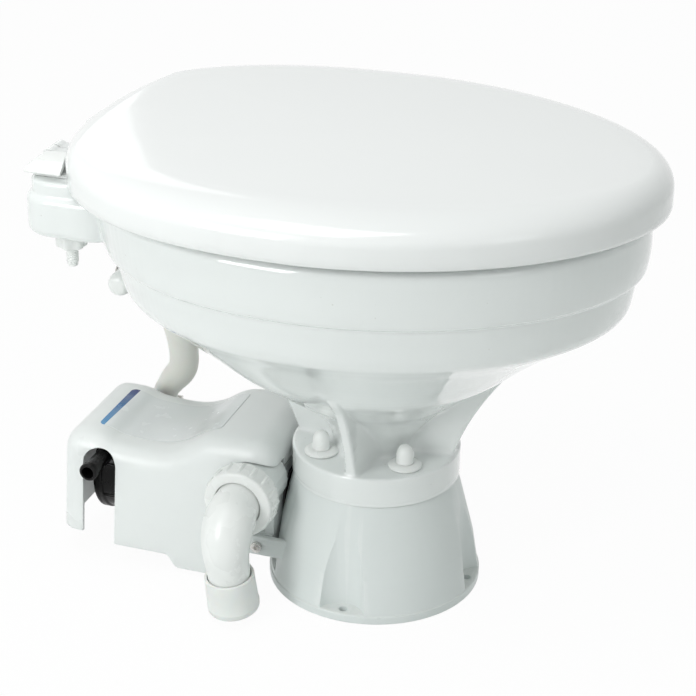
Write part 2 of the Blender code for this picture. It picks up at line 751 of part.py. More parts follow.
def bowl_ring(share, front_share, rear_share, start, front_end, rear_end):
    """A ring of the bowl at a share of its height: round at the neck and oval at the rim."""
    height = blend(FLANGE_TOP, RIM_TOP, share)
    oval_share = ease(share / BOWL_SQUARING_SHARE)
    front = blend(start, front_end, front_share)
    rear = blend(start, rear_end, rear_share)
    half_width = blend(1, BOWL_WIDTH_SHARE, oval_share) * (front + rear) / 2
    powers = (blend(2, BOWL_FRONT_POWER, oval_share), blend(2, BOWL_REAR_POWER, oval_share))
    return height, front, rear, half_width, BOWL_CENTRE * oval_share, powers


def outer_ring(row):
    return bowl_ring(*row, NECK_RADIUS, BOWL_FRONT_REACH, BOWL_REAR_REACH)


def inner_ring(row):
    return bowl_ring(*row, OUTLET_RADIUS, RIM_FRONT_OPENING, RIM_REAR_OPENING)


def circle(radius, height, count=BOWL_POINTS):
    return oval(count, height, radius, radius, radius, 0, (2, 2))


def diagonals(reach):
    """The four bolt places between the ribs."""
    turns = [math.pi / 4 + math.pi / 2 * spot for spot in range(4)]
    return [(reach * math.cos(turn), reach * math.sin(turn)) for turn in turns]


def cardinals(reach):
    """The four places straight in front, behind and at the sides."""
    turns = [math.pi / 2 * spot for spot in range(4)]
    return [(reach * math.cos(turn), reach * math.sin(turn)) for turn in turns]


def wall_reach(shares, start, height):
    """How far the front of the bowl's wall, outer or inner, reaches at a height."""
    end = BOWL_FRONT_REACH if shares is BOWL_OUTER_SHARES else RIM_FRONT_OPENING
    share = (height - FLANGE_TOP) / (RIM_TOP - FLANGE_TOP)
    rows = sorted(shares)
    for (low, near, _), (high, far, _) in zip(rows, rows[1:]):
        if low <= share <= high:
            return blend(start, end, blend(near, far, (share - low) / (high - low)))
    return start


def wall_middle(height):
    """How far the middle of the bowl's wall reaches at a height."""
    outer = wall_reach(BOWL_OUTER_SHARES, NECK_RADIUS, height)
    inner = wall_reach(BOWL_INNER_SHARES, OUTLET_RADIUS, height)
    return (outer + inner) / 2


def rib_tool():
    """Four upright ribs, thicker toward the neck, that run from the flange up the bowl's underside."""
    foot = FLANGE_TOP - RIB_SINK
    edge = FLANGE_RADIUS - FLANGE_ROUNDING
    top = FLANGE_TOP + RIB_TOP_HEIGHT
    reach = wall_reach(BOWL_OUTER_SHARES, NECK_RADIUS, top)
    waist = blend(FLANGE_TOP, top, RIB_WAIST_HEIGHT_SHARE)
    upper = blend(FLANGE_TOP, top, RIB_UPPER_HEIGHT_SHARE)
    middle = blend(FLANGE_TOP, top, RIB_MIDDLE_HEIGHT_SHARE)
    root = top + RIB_ROOT_RISE
    inner = (OUTLET_RADIUS + NECK_RADIUS) / 2
    outline = (
        (inner, foot),
        (edge, foot),
        (edge, FLANGE_TOP),
        (blend(edge, reach, RIB_WAIST_REACH_SHARE), waist),
        (reach, top),
        (wall_middle(root), root),
        (wall_middle(upper), upper),
        (wall_middle(middle), middle),
    )
    shape = bmesh.new()
    for spot in range(4):
        turn = Matrix.Rotation(math.pi / 2 * spot, 3, "Z")
        sides = []
        for side in (LEFT, RIGHT):
            corners = []
            for out, height in outline:
                share = (out - inner) / (reach - inner)
                half = blend(RIB_ROOT_THICKNESS, RIB_EDGE_THICKNESS, share) / 2
                corners.append(shape.verts.new(turn @ Vector((out, side * half, height))))
            sides.append(corners)
        near, far = sides
        shape.faces.new(near)
        shape.faces.new(reversed(far))
        for place in range(len(outline)):
            after = (place + 1) % len(outline)
            shape.faces.new((near[after], near[place], far[place], far[after]))
    bmesh.ops.recalc_face_normals(shape, faces=shape.faces)
    return add_object("bowl_ribs", mesh_of("bowl_ribs", shape), CERAMIC)


def make_bowl():
    """The ceramic bowl: a flange, a flaring wall, a box rim, a rear shelf and four ribs."""
    rings = [
        circle(OUTLET_RADIUS, BOWL_BOTTOM),
        circle(FLANGE_RADIUS - FLANGE_ROUNDING / 2, BOWL_BOTTOM),
        circle(FLANGE_RADIUS, BOWL_BOTTOM + FLANGE_ROUNDING / 2),
        circle(FLANGE_RADIUS, FLANGE_TOP - FLANGE_ROUNDING),
        circle(FLANGE_RADIUS - FLANGE_ROUNDING, FLANGE_TOP),
    ]
    rings += [oval(BOWL_POINTS, *outer_ring(row)) for row in BOWL_OUTER_SHARES]
    rings += [oval(BOWL_POINTS, *inner_ring(row)) for row in BOWL_INNER_SHARES]
    bowl = loft("bowl", rings, CERAMIC, closed=True)

    shelf_low = (-SHELF_HALF_WIDTH, SHELF_FRONT, SHELF_BOTTOM)
    shelf = boxes("bowl_shelf", [(shelf_low, (SHELF_HALF_WIDTH, SHELF_REAR, SHELF_TOP))], CERAMIC)
    join(bowl, bevel(round_uprights(shelf, SHELF_CORNER), SHELF_ROUNDING))
    side = SHELF_HALF_WIDTH - PLATFORM_INSET
    pad_low = (-side, PLATFORM_FRONT, SHELF_TOP - SHELF_ROUNDING)
    pad = boxes("bowl_platform", [(pad_low, (side, PLATFORM_REAR, PLATFORM_TOP))], CERAMIC)
    round_uprights(pad, SHELF_CORNER - PLATFORM_INSET)
    join(bowl, bevel(pad, PLATFORM_ROUNDING))
    join(bowl, rib_tool())

    hole = BOLT_RADIUS + BOLT_HOLE_CLEARANCE
    holes = [
        ((x, y, BOWL_BOTTOM - OVERRUN), (x, y, FLANGE_TOP + OVERRUN), hole)
        for x, y in diagonals(BOLT_CIRCLE)
    ]
    hinge_hole = HINGE_BOLT_RADIUS + BOLT_HOLE_CLEARANCE
    for side in (LEFT, RIGHT):
        x = side * HINGE_BOLT_X
        bottom = (x, HINGE_BOLT_Y, SHELF_BOTTOM - OVERRUN)
        holes.append((bottom, (x, HINGE_BOLT_Y, PLATFORM_TOP + OVERRUN), hinge_hole))
    cut(bowl, rods("bowl_holes", holes, CERAMIC, SMALL_STEPS))
    start = (INLET_X, INLET_Y + OVERRUN, INLET_Z)
    end = (INLET_X, INLET_Y - INLET_HOLE_DEPTH, INLET_Z)
    cut(bowl, rods("bowl_inlet_hole", [(start, end, GROMMET_OUTER + GAP)], CERAMIC, MEDIUM_STEPS))
    return bowl


def make_base():
    """The pedestal: a cone with a waste chamber, open at the top and to the pump behind it."""
    roof = BASE_HEIGHT - BASE_ROOF
    profile = [
        (0, BASE_FLOOR),
        (BASE_CHAMBER_RADIUS, BASE_FLOOR),
        (BASE_CHAMBER_RADIUS, roof),
        (OUTLET_RADIUS, roof),
        (OUTLET_RADIUS, BASE_HEIGHT),
        (BASE_TOP_RADIUS, BASE_HEIGHT),
        (BASE_WAIST_RADIUS, BASE_WAIST_HEIGHT),
        (BASE_FOOT_RADIUS, BASE_RIM_HEIGHT),
        (BASE_RIM_RADIUS, BASE_RIM_HEIGHT),
        (BASE_RIM_RADIUS, 0),
        (0, 0),
    ]
    base = turned("pedestal_base", profile, SATIN_PLASTIC, steps=ROUND_STEPS)
    bosses = [
        ((x, y, roof - BOLT_BOSS_DEPTH), (x, y, roof + BASE_ROOF / 2), BOLT_BOSS_RADIUS)
        for x, y in diagonals(BOLT_CIRCLE)
    ]
    join(base, rods("base_bosses", bosses, SATIN_PLASTIC, SMALL_STEPS))
    ears = []
    for side in (LEFT, RIGHT):
        inner, outer = sorted((side * (EAR_HALF_WIDTH - EAR_THICKNESS), side * EAR_HALF_WIDTH))
        ears.append(((inner, EAR_START, EAR_BOTTOM), (outer, EAR_END, EAR_TOP)))
    far = BASE_RIM_RADIUS + OVERRUN
    flat_low = (-far, REAR_FACE, REAR_FACE_BOTTOM)
    cut(base, boxes("base_rear_cut", [(flat_low, (far, far, BASE_HEIGHT + OVERRUN))], SATIN_PLASTIC))
    join(base, bevel(boxes("base_ears", ears, SATIN_PLASTIC), EAR_ROUNDING / 2, 1))
    pockets = [
        ((x, y, BASE_RIM_HEIGHT), (x, y, BASE_HEIGHT + OVERRUN), POCKET_RADIUS)
        for x, y in cardinals(POCKET_DEPTH_REACH + POCKET_RADIUS)
    ]
    cut(base, rods("base_pockets", pockets, SATIN_PLASTIC, MEDIUM_STEPS))
    hole = BOLT_RADIUS + GAP
    holes = [
        ((x, y, BASE_HEIGHT - BOLT_DEPTH - BOLT_TIP_ROOM), (x, y, BASE_HEIGHT + OVERRUN), hole)
        for x, y in diagonals(BOLT_CIRCLE)
    ]
    holes += [
        ((x, y, -OVERRUN), (x, y, BASE_RIM_HEIGHT + OVERRUN), FLOOR_HOLE_RADIUS)
        for x, y in cardinals(FLOOR_HOLE_REACH)
    ]
    far = EAR_HALF_WIDTH + OVERRUN
    near = EAR_HALF_WIDTH - EAR_THICKNESS - OVERRUN
    for side in (LEFT, RIGHT):
        start = (side * near, SCREW_Y, SCREW_Z)
        holes.append((start, (side * far, SCREW_Y, SCREW_Z), SCREW_RADIUS + GAP))
    cut(base, rods("base_holes", holes, SATIN_PLASTIC, SMALL_STEPS))
    port = ((0, REAR_FACE - BASE_CHAMBER_RADIUS / 2, SHAFT_Z), (0, REAR_FACE + OVERRUN, SHAFT_Z))
    cut(base, rods("base_port", [(*port, PORT_RADIUS)], SATIN_PLASTIC))
    return base


def make_bowl_fixings():
    """The gasket, and at each corner a bolt, a washer-like cap base and a domed cap."""
    bottom = BASE_HEIGHT + GAP
    profile = ring(BASE_TOP_RADIUS, OUTLET_RADIUS, bottom, bottom + GASKET_THICKNESS)
    gasket = turned("bowl_gasket", profile, RUBBER)
    hole = BOLT_RADIUS + BOLT_HOLE_CLEARANCE
    holes = [
        ((x, y, bottom - OVERRUN), (x, y, BOWL_BOTTOM + OVERRUN), hole)
        for x, y in diagonals(BOLT_CIRCLE)
    ]
    cut(gasket, rods("gasket_holes", holes, RUBBER, SMALL_STEPS))

    cap_bottom = FLANGE_TOP + GAP
    head_bottom = cap_bottom + CAP_BASE_THICKNESS + GAP
    tip = BASE_HEIGHT - BOLT_DEPTH
    shank = [
        (0, head_bottom + BOLT_HEAD_HEIGHT),
        (BOLT_HEAD_RADIUS, head_bottom + BOLT_HEAD_HEIGHT),
        (BOLT_HEAD_RADIUS, head_bottom),
        (BOLT_RADIUS, head_bottom),
        (BOLT_RADIUS, tip),
        (0, tip),
    ]
    plate = [
        (CAP_BASE_RADIUS - CAP_BASE_THICKNESS / 3, cap_bottom + CAP_BASE_THICKNESS),
        (CAP_BASE_RADIUS, cap_bottom + CAP_BASE_THICKNESS / 2),
        (CAP_BASE_RADIUS, cap_bottom),
        (hole, cap_bottom),
        (hole, cap_bottom + CAP_BASE_THICKNESS),
    ]
    dome = dome_profile(head_bottom)
    for number, (x, y) in enumerate(diagonals(BOLT_CIRCLE), start=1):
        turned(f"bowl_bolt_{number}", shank, STEEL, (x, y, 0), steps=HEX_SIDES * 2)
        turned(f"bolt_cap_base_{number}", plate, WHITE_PLASTIC, (x, y, 0), steps=MEDIUM_STEPS)
        turned(f"bolt_cap_{number}", dome, WHITE_PLASTIC, (x, y, 0), steps=SMALL_STEPS)


def dome_profile(bottom):
    """A hollow dome that is open below: down its outside, then up its inside."""
    straight = CAP_HEIGHT - CAP_RADIUS
    turns = [math.pi / 2 * (1 - step / DOME_STEPS) for step in range(DOME_STEPS + 1)]
    outside = [(CAP_RADIUS * math.cos(t), bottom + straight + CAP_RADIUS * math.sin(t)) for t in turns]
    inner = CAP_RADIUS - CAP_WALL
    inside = [(inner * math.cos(t), bottom + straight + inner * math.sin(t)) for t in reversed(turns)]
    outside[0] = (0, outside[0][1])
    inside[-1] = (0, inside[-1][1])
    return outside + [(CAP_RADIUS, bottom), (inner, bottom)] + inside


def make_lid(parent):
    """The wrap-over lid, with a skirt, a rounded edge, a slight crown and two hinge arms."""
    rings = list(reversed(lid_rings(LID_WALL))) + lid_rings(0)
    lid = loft("lid", rings, LID_PLASTIC, closed=False)
    for arm in hinge_arms("lid", LID_ARM_X, LID_ARM_ROOT, LID_PLASTIC):
        join(lid, arm)
    notches = []
    for side in (LEFT, RIGHT):
        near = side * (SEAT_ARM_X - NOTCH_CLEARANCE)
        far = side * (SEAT_ARM_X + ARM_WIDTH + NOTCH_CLEARANCE)
        low = (min(near, far), LID_ARM_ROOT - LID_WALL, LID_BOTTOM - OVERRUN)
        high = (max(near, far), LID_REAR + OVERRUN, HINGE_Z + ARM_BOSS_RADIUS + NOTCH_CLEARANCE)
        notches.append((low, high))
    cut(lid, boxes("lid_notches", notches, LID_PLASTIC))
    cut(lid, pin_hole("lid_pin_hole", LID_ARM_X, LID_PLASTIC))
    place_on_hinge(lid, parent)
    return lid


def make_seat(parent):
    """The seat ring inside the lid's skirt, with two hinge arms."""
    middle = (SEAT_INSET + SEAT_OPENING_INSET) / 2
    edge = SEAT_BOTTOM + SEAT_THICKNESS * SEAT_EDGE_HEIGHT_SHARE
    shoulder = SEAT_BOTTOM + SEAT_THICKNESS * SEAT_SHOULDER_SHARE
    slope = (SEAT_OPENING_INSET - SEAT_INSET) * SEAT_SLOPE_SHARE
    levels = [
        (SEAT_INSET, SEAT_BOTTOM),
        (SEAT_INSET, edge),
        (SEAT_INSET + slope, shoulder),
        (middle, SEAT_TOP),
        (SEAT_OPENING_INSET - slope, shoulder),
        (SEAT_OPENING_INSET, edge),
        (SEAT_OPENING_INSET, SEAT_BOTTOM),
    ]
    rings = [oval(LID_POINTS, height, *lid_outline(inset)) for inset, height in levels]
    seat = loft("seat", rings, LID_PLASTIC, closed=True)
    for arm in hinge_arms("seat", SEAT_ARM_X, SEAT_ARM_ROOT, LID_PLASTIC):
        join(seat, arm)
    cut(seat, pin_hole("seat_pin_hole", SEAT_ARM_X, LID_PLASTIC))
    place_on_hinge(seat, parent)
    return seat


def place_on_hinge(obj, parent):
    """Moves an object's origin to the hinge axis without moving its shape."""
    obj.data.transform(Matrix.Translation((0, -HINGE_Y, -HINGE_Z)))
    obj.parent = parent


def hinge_arms(owner, near, root, finish):
    """A bar and a round boss on each side, as hidden pieces to join."""
    bars = []
    eyes = []
    for side in (LEFT, RIGHT):
        inner, outer = sorted((side * near, side * (near + ARM_WIDTH)))
        low = (inner, root, HINGE_Z - ARM_HALF_HEIGHT)
        bars.append((low, (outer, HINGE_Y, HINGE_Z + ARM_HALF_HEIGHT)))
        eyes.append(((inner, HINGE_Y, HINGE_Z), (outer, HINGE_Y, HINGE_Z), ARM_BOSS_RADIUS))
    yield boxes(owner + "_arm_bars", bars, finish)
    yield rods(owner + "_arm_eyes", eyes, finish, SMALL_STEPS)


def pin_hole(name, near, finish):
    """A hole for the pin through both arms."""
    holes = []
    for side in (LEFT, RIGHT):
        start = (side * (near - ARM_SPACING / 2), HINGE_Y, HINGE_Z)
        end = (side * (near + ARM_WIDTH + ARM_SPACING / 2), HINGE_Y, HINGE_Z)
        holes.append((start, end, PIN_RADIUS + GAP))
    return rods(name, holes, finish, SMALL_STEPS)


def lid_ceiling(turn, inset):
    """The height of the lid's inner face at an inset from its outline, at a turn around it."""
    outline = Vector(oval_point(turn, *lid_outline(LID_WALL)))
    share = (inset - LID_WALL) / (lid_panel_point(turn) - outline).length
    levels = lid_shoulder(LID_WALL)
    for (near, low), (far, high) in zip(levels, levels[1:]):
        if near <= share <= far:
            return blend(low, high, (share - near) / (far - near))
    return levels[-1][1]


def make_buffers(seat_parent, lid_parent):
    """Round rubber feet: four below the seat on the bowl's rim and two below the lid on the seat."""
    rim_outer = outer_ring(BOWL_OUTER_SHARES[-1])[1:]
    rim_inner = inner_ring(BOWL_INNER_SHARES[0])[1:]
    for number, turn in enumerate(SEAT_BUFFER_TURNS, start=1):
        outer = Vector(oval_point(turn, *rim_outer))
        inner = Vector(oval_point(turn, *rim_inner))
        spot = (outer + inner) / 2
        profile = disc(BUFFER_RADIUS, RIM_TOP + GAP, SEAT_BOTTOM - GAP)
        foot = turned(f"seat_buffer_{number}", profile, RUBBER, steps=SMALL_STEPS)
        foot.location = (spot.x, spot.y, 0)
        hang(foot, seat_parent)
    for side, word in ((LEFT, "left"), (RIGHT, "right")):
        turn = -math.pi / 2 + side * LID_BUFFER_TURN
        x, y = oval_point(turn, *lid_outline(LID_BUFFER_INSET))
        top = lid_ceiling(turn, LID_BUFFER_INSET - BUFFER_RADIUS) - GAP
        profile = disc(BUFFER_RADIUS, SEAT_TOP + GAP, top)
        foot = turned(f"lid_buffer_{word}", profile, RUBBER, steps=SMALL_STEPS)
        foot.location = (x, y, 0)
        hang(foot, lid_parent)


def hang(obj, parent):
    """Parents an object to an empty and keeps its place in the world."""
    obj.location = Vector(obj.location) - Vector(parent.location)
    obj.parent = parent


def empty(name, place):
    """An empty on a joint's axis."""
    made = bpy.data.objects.new(name, None)
    made.location = place
    PARTS.objects.link(made)
    return made


def make_hinges():
    """On each side a post on the platform, a pin, a roof-like cap, and a bolt and nut in the shelf."""
    for side, word in ((LEFT, "left"), (RIGHT, "right")):
        make_hinge_post(side, word)
        pin_inner = SEAT_ARM_X - ARM_SPACING
        pin_outer = POST_OUTER_X - ARM_SPACING
        profile = disc(PIN_RADIUS, pin_inner, pin_outer)
        axis = (0, math.copysign(math.pi / 2, side), 0)
        turned(f"hinge_pin_{word}", profile, STEEL, (0, HINGE_Y, HINGE_Z), axis, SMALL_STEPS)
        make_hinge_cap(side, word)
        make_hinge_bolt(side, word)


def make_hinge_post(side, word):
    inner, outer = sorted((side * POST_INNER_X, side * POST_OUTER_X))
    foot = PLATFORM_TOP + GAP
    block = [((inner, POST_FRONT, foot), (outer, HINGE_Y, POST_TOP))]
    post = boxes(f"hinge_post_{word}", block, WHITE_PLASTIC)
    tongue_high = (outer, HINGE_Y, foot + POST_FOOT_THICKNESS)
    tongue = boxes(f"post_foot_{word}", [((inner, POST_FOOT_FRONT, foot), tongue_high)], WHITE_PLASTIC)
    join(post, tongue)
    eye = [((inner, HINGE_Y, HINGE_Z), (outer, HINGE_Y, HINGE_Z), POST_EYE_RADIUS)]
    join(post, rods(f"post_eye_{word}", eye, WHITE_PLASTIC, MEDIUM_STEPS))
    pin_near = (side * (POST_INNER_X - OVERRUN), HINGE_Y, HINGE_Z)
    pin_far = (side * (POST_OUTER_X - ARM_SPACING + GAP), HINGE_Y, HINGE_Z)
    pin_room = [(pin_near, pin_far, PIN_RADIUS + GAP)]
    cut(post, rods(f"post_pin_hole_{word}", pin_room, WHITE_PLASTIC, SMALL_STEPS))
    top = foot + POST_FOOT_THICKNESS
    head = [
        (0, top + GAP),
        (HINGE_BOLT_HEAD_RADIUS + GAP * 2, top + GAP),
        (HINGE_BOLT_RADIUS + GAP, top - HINGE_BOLT_HEAD_HEIGHT),
        (HINGE_BOLT_RADIUS + GAP, foot - GAP),
        (0, foot - GAP),
    ]
    place = (side * HINGE_BOLT_X, HINGE_BOLT_Y, 0)
    cut(post, turned(f"post_bolt_hole_{word}", head, WHITE_PLASTIC, place, steps=SMALL_STEPS))


def make_hinge_cap(side, word):
    """A low roof over the post, its top drawn in at the rear and the outer side."""
    side_slope = HINGE_CAP_SIDE_SLOPE
    rear_slope = HINGE_CAP_REAR_SLOPE
    eaves = HINGE_CAP_BOTTOM + HINGE_CAP_EAVES
    lower = [
        (HINGE_CAP_INNER_X, HINGE_CAP_FRONT_INNER),
        (HINGE_CAP_OUTER_X, HINGE_CAP_FRONT_OUTER),
        (HINGE_CAP_OUTER_X, HINGE_CAP_REAR),
        (HINGE_CAP_INNER_X, HINGE_CAP_REAR),
    ]
    upper = [
        (HINGE_CAP_INNER_X, HINGE_CAP_FRONT_INNER),
        (HINGE_CAP_OUTER_X - side_slope, HINGE_CAP_FRONT_OUTER),
        (HINGE_CAP_OUTER_X - side_slope, HINGE_CAP_REAR - rear_slope),
        (HINGE_CAP_INNER_X, HINGE_CAP_REAR - rear_slope),
    ]
    levels = [(lower, HINGE_CAP_BOTTOM), (lower, eaves), (upper, HINGE_CAP_TOP)]
    rings = [[(side * x, y, height) for x, y in corners] for corners, height in levels]
    if side == LEFT:
        rings = [list(reversed(corners)) for corners in rings]
    cap = loft(f"hinge_cap_{word}", rings, WHITE_PLASTIC, closed=False)
    inner, outer = sorted((side * (POST_INNER_X - GAP), side * (POST_OUTER_X + GAP)))
    low = (inner, POST_FRONT - GAP, HINGE_CAP_BOTTOM - OVERRUN)
    high = (outer, HINGE_Y, POST_TOP + GAP)
    inner_side, pin_side = sorted((side * (HINGE_CAP_INNER_X - OVERRUN), side * POST_INNER_X))
    slot_low = (inner_side, HINGE_Y - PIN_RADIUS - GAP, HINGE_CAP_BOTTOM - OVERRUN)
    slot_high = (pin_side, HINGE_Y + PIN_RADIUS + GAP, HINGE_Z + PIN_RADIUS + GAP)
    cut(cap, boxes(f"cap_room_{word}", [(low, high)], WHITE_PLASTIC))
    eye = [((inner, HINGE_Y, HINGE_Z), (outer, HINGE_Y, HINGE_Z), POST_EYE_RADIUS + GAP)]
    cut(cap, rods(f"cap_eye_room_{word}", eye, WHITE_PLASTIC, MEDIUM_STEPS))
    cut(cap, boxes(f"cap_slot_{word}", [(slot_low, slot_high)], WHITE_PLASTIC))


def make_hinge_bolt(side, word):
    place = (side * HINGE_BOLT_X, HINGE_BOLT_Y, 0)
    top = PLATFORM_TOP + POST_FOOT_THICKNESS
    head = top - HINGE_BOLT_HEAD_HEIGHT
    bolt = [
        (0, top),
        (HINGE_BOLT_HEAD_RADIUS, top),
        (HINGE_BOLT_RADIUS, head),
        (HINGE_BOLT_RADIUS, HINGE_BOLT_END + HINGE_BOLT_RADIUS),
        (HINGE_BOLT_RADIUS * HINGE_BOLT_TIP_SHARE, HINGE_BOLT_END),
        (0, HINGE_BOLT_END),
    ]
    turned(f"hinge_bolt_{word}", bolt, WHITE_PLASTIC, place, steps=SMALL_STEPS)
    nut_top = SHELF_BOTTOM - GAP
    bore = HINGE_BOLT_RADIUS + GAP
    flange = HINGE_NUT_RADIUS + HINGE_NUT_FLANGE
    nut = [
        (flange, nut_top),
        (flange, nut_top - HINGE_NUT_FLANGE),
        (HINGE_NUT_RADIUS, nut_top - HINGE_NUT_FLANGE),
        (HINGE_NUT_RADIUS, nut_top - HINGE_NUT_HEIGHT),
        (bore, nut_top - HINGE_NUT_HEIGHT),
        (bore, nut_top),
    ]
    turned(f"hinge_nut_{word}", nut, WHITE_PLASTIC, place, steps=HEX_SIDES * 2)


ALONG_Y = (-math.pi / 2, 0, 0)
ALONG_X = (0, math.pi / 2, 0)
AGAINST_X = (0, -math.pi / 2, 0)
SHAFT_PLACE = (0, 0, SHAFT_Z)


def on_shaft(name, profile, finish, steps=ROUND_STEPS, place=SHAFT_PLACE):
    """A piece turned about the motor's shaft, its profile heights being places along Y."""
    return turned(name, profile, finish, place, ALONG_Y, steps)


def make_macerator():
    """Housing with its plate, barrel, discharge stub and side lugs, and what turns inside it."""
    start = REAR_FACE + GAP
    on_shaft(
        "housing_seal",
        ring(PORT_RADIUS + SEAL_THICKNESS * 4, PORT_RADIUS + GAP, start, start + SEAL_THICKNESS),
        RUBBER,
    )
    plate_low = (-PLATE_HALF_WIDTH, PLATE_FRONT, PLATE_BOTTOM)
    plate_high = (PLATE_HALF_WIDTH, PLATE_BACK, PLATE_TOP)
    housing = boxes("macerator_housing", [(plate_low, plate_high)], SATIN_PLASTIC)
    barrel = ((0, PLATE_FRONT + OVERRUN, SHAFT_Z), (0, BARREL_END, SHAFT_Z), BARREL_RADIUS)
    join(housing, rods("housing_barrel", [barrel], SATIN_PLASTIC, ROUND_STEPS))
    root = (-STUB_ROOT_X, DISCHARGE_Y, DISCHARGE_Z)
    end = (-STUB_END_X, DISCHARGE_Y, DISCHARGE_Z)
    join(housing, rods("housing_stub", [(root, end, STUB_RADIUS)], SATIN_PLASTIC, MEDIUM_STEPS))
    post_bottom = (0, COVER_POST_Y, SHAFT_Z + BARREL_RADIUS - POST_SINK)
    post_top = (0, COVER_POST_Y, COVER_FRONT_TOP - COVER_WALL - GAP)
    post = [(post_bottom, post_top, COVER_POST_RADIUS)]
    join(housing, rods("housing_cover_post", post, SATIN_PLASTIC, SMALL_STEPS))
    lugs = []
    for side in (LEFT, RIGHT):
        inner, outer = sorted((side * LUG_INNER_X, side * (EAR_HALF_WIDTH - EAR_THICKNESS - GAP)))
        lugs.append(((inner, LUG_FRONT, EAR_BOTTOM), (outer, EAR_END, EAR_TOP)))
    join(housing, boxes("housing_lugs", lugs, SATIN_PLASTIC))

    chamber = ((0, PLATE_BACK, SHAFT_Z), (0, BARREL_END + OVERRUN, SHAFT_Z), CHAMBER_RADIUS)
    cut(housing, rods("housing_chamber", [chamber], SATIN_PLASTIC, ROUND_STEPS))
    inlet = ((0, PLATE_FRONT - OVERRUN, SHAFT_Z), (0, PLATE_BACK + OVERRUN, SHAFT_Z), PORT_RADIUS)
    cut(housing, rods("housing_inlet", [inlet], SATIN_PLASTIC, ROUND_STEPS))
    bore_root = (-STUB_BORE_ROOT_X, DISCHARGE_Y, DISCHARGE_Z)
    bore_end = (-STUB_END_X - OVERRUN, DISCHARGE_Y, DISCHARGE_Z)
    cut(housing, rods("housing_bore", [(bore_root, bore_end, STUB_BORE)], SATIN_PLASTIC, MEDIUM_STEPS))
    screw_holes = []
    for side in (LEFT, RIGHT):
        near = (side * (EAR_HALF_WIDTH - SCREW_LENGTH), SCREW_Y, SCREW_Z)
        far = (side * (EAR_HALF_WIDTH + OVERRUN), SCREW_Y, SCREW_Z)
        screw_holes.append((near, far, SCREW_RADIUS + GAP))
    cut(housing, rods("housing_screw_holes", screw_holes, SATIN_PLASTIC, SMALL_STEPS))
    make_side_screws()

    plate_start = PLATE_BACK + GAP
    chopper_bore = SHAFT_RADIUS + BLADE_THICKNESS / 3
    profile = ring(CHAMBER_RADIUS - GAP, chopper_bore, plate_start, plate_start + CHOPPER_THICKNESS)
    chopper = on_shaft("chopper_plate", profile, STEEL)
    holes = []
    for spot in range(CHOPPER_HOLES):
        turn = math.tau * (spot + 1 / 2) / CHOPPER_HOLES
        x, z = CHOPPER_HOLE_CIRCLE * math.cos(turn), SHAFT_Z + CHOPPER_HOLE_CIRCLE * math.sin(turn)
        start = (x, plate_start - OVERRUN / 2, z)
        end = (x, plate_start + CHOPPER_THICKNESS + OVERRUN / 2, z)
        holes.append((start, end, CHOPPER_HOLE_RADIUS))
    cut(chopper, rods("chopper_holes", holes, STEEL, CHOPPER_HOLE_STEPS))

    adapter_start = BARREL_END + GAP
    adapter_end = adapter_start + ADAPTER_THICKNESS
    seat_depth = adapter_start + SHAFT_SEAL_DEPTH
    adapter = [
        (ADAPTER_RADIUS, adapter_end),
        (ADAPTER_RADIUS, adapter_start),
        (SHAFT_SEAL_RADIUS, adapter_start),
        (SHAFT_SEAL_RADIUS, seat_depth),
        (BORE_RADIUS, seat_depth),
        (BORE_RADIUS, adapter_end),
    ]
    on_shaft("motor_adapter", adapter, BLACK_PLASTIC)
    seal = ring(SHAFT_SEAL_RADIUS - GAP, BORE_RADIUS, adapter_start + GAP, seat_depth - GAP)
    on_shaft("shaft_seal", seal, RUBBER, MEDIUM_STEPS)


def make_side_screws():
    """The screws that hold the housing's lugs to the pedestal's ears."""
    head_start = EAR_HALF_WIDTH + GAP
    profile = [
        (0, head_start + SCREW_HEAD_HEIGHT),
        (SCREW_HEAD_RADIUS, head_start + SCREW_HEAD_HEIGHT),
        (SCREW_HEAD_RADIUS, head_start),
        (SCREW_RADIUS, head_start),
        (SCREW_RADIUS, head_start - SCREW_LENGTH),
        (0, head_start - SCREW_LENGTH),
    ]
    place = (0, SCREW_Y, SCREW_Z)
    turned("lug_screw_left", profile, STEEL, place, AGAINST_X, HEX_SIDES * 2)
    turned("lug_screw_right", profile, STEEL, place, ALONG_X, HEX_SIDES * 2)


def star(name, hub, reach, thickness, vanes, span, finish, parent):
    """A hub with flat vanes round it, on the shaft."""
    start, end = span
    made = on_shaft(name, ring(hub, BORE_RADIUS, start, end), finish, MEDIUM_STEPS)
    shape = bmesh.new()
    inner = (hub + BORE_RADIUS) / 2
    for spot in range(vanes):
        size = Matrix.Diagonal((reach - inner, end - start, thickness, 1))
        out = Matrix.Translation(((reach + inner) / 2, 0, 0))
        turn = Matrix.Rotation(math.tau * spot / vanes, 4, "Y")
        place = Matrix.Translation((0, (start + end) / 2, SHAFT_Z))
        bmesh.ops.create_cube(shape, size=1, matrix=place @ turn @ out @ size)
    join(made, add_object(name + "_vanes", mesh_of(name + "_vanes", shape), finish))
    made.parent = parent
    made.location = Vector(SHAFT_PLACE) - Vector(parent.location)
    return made


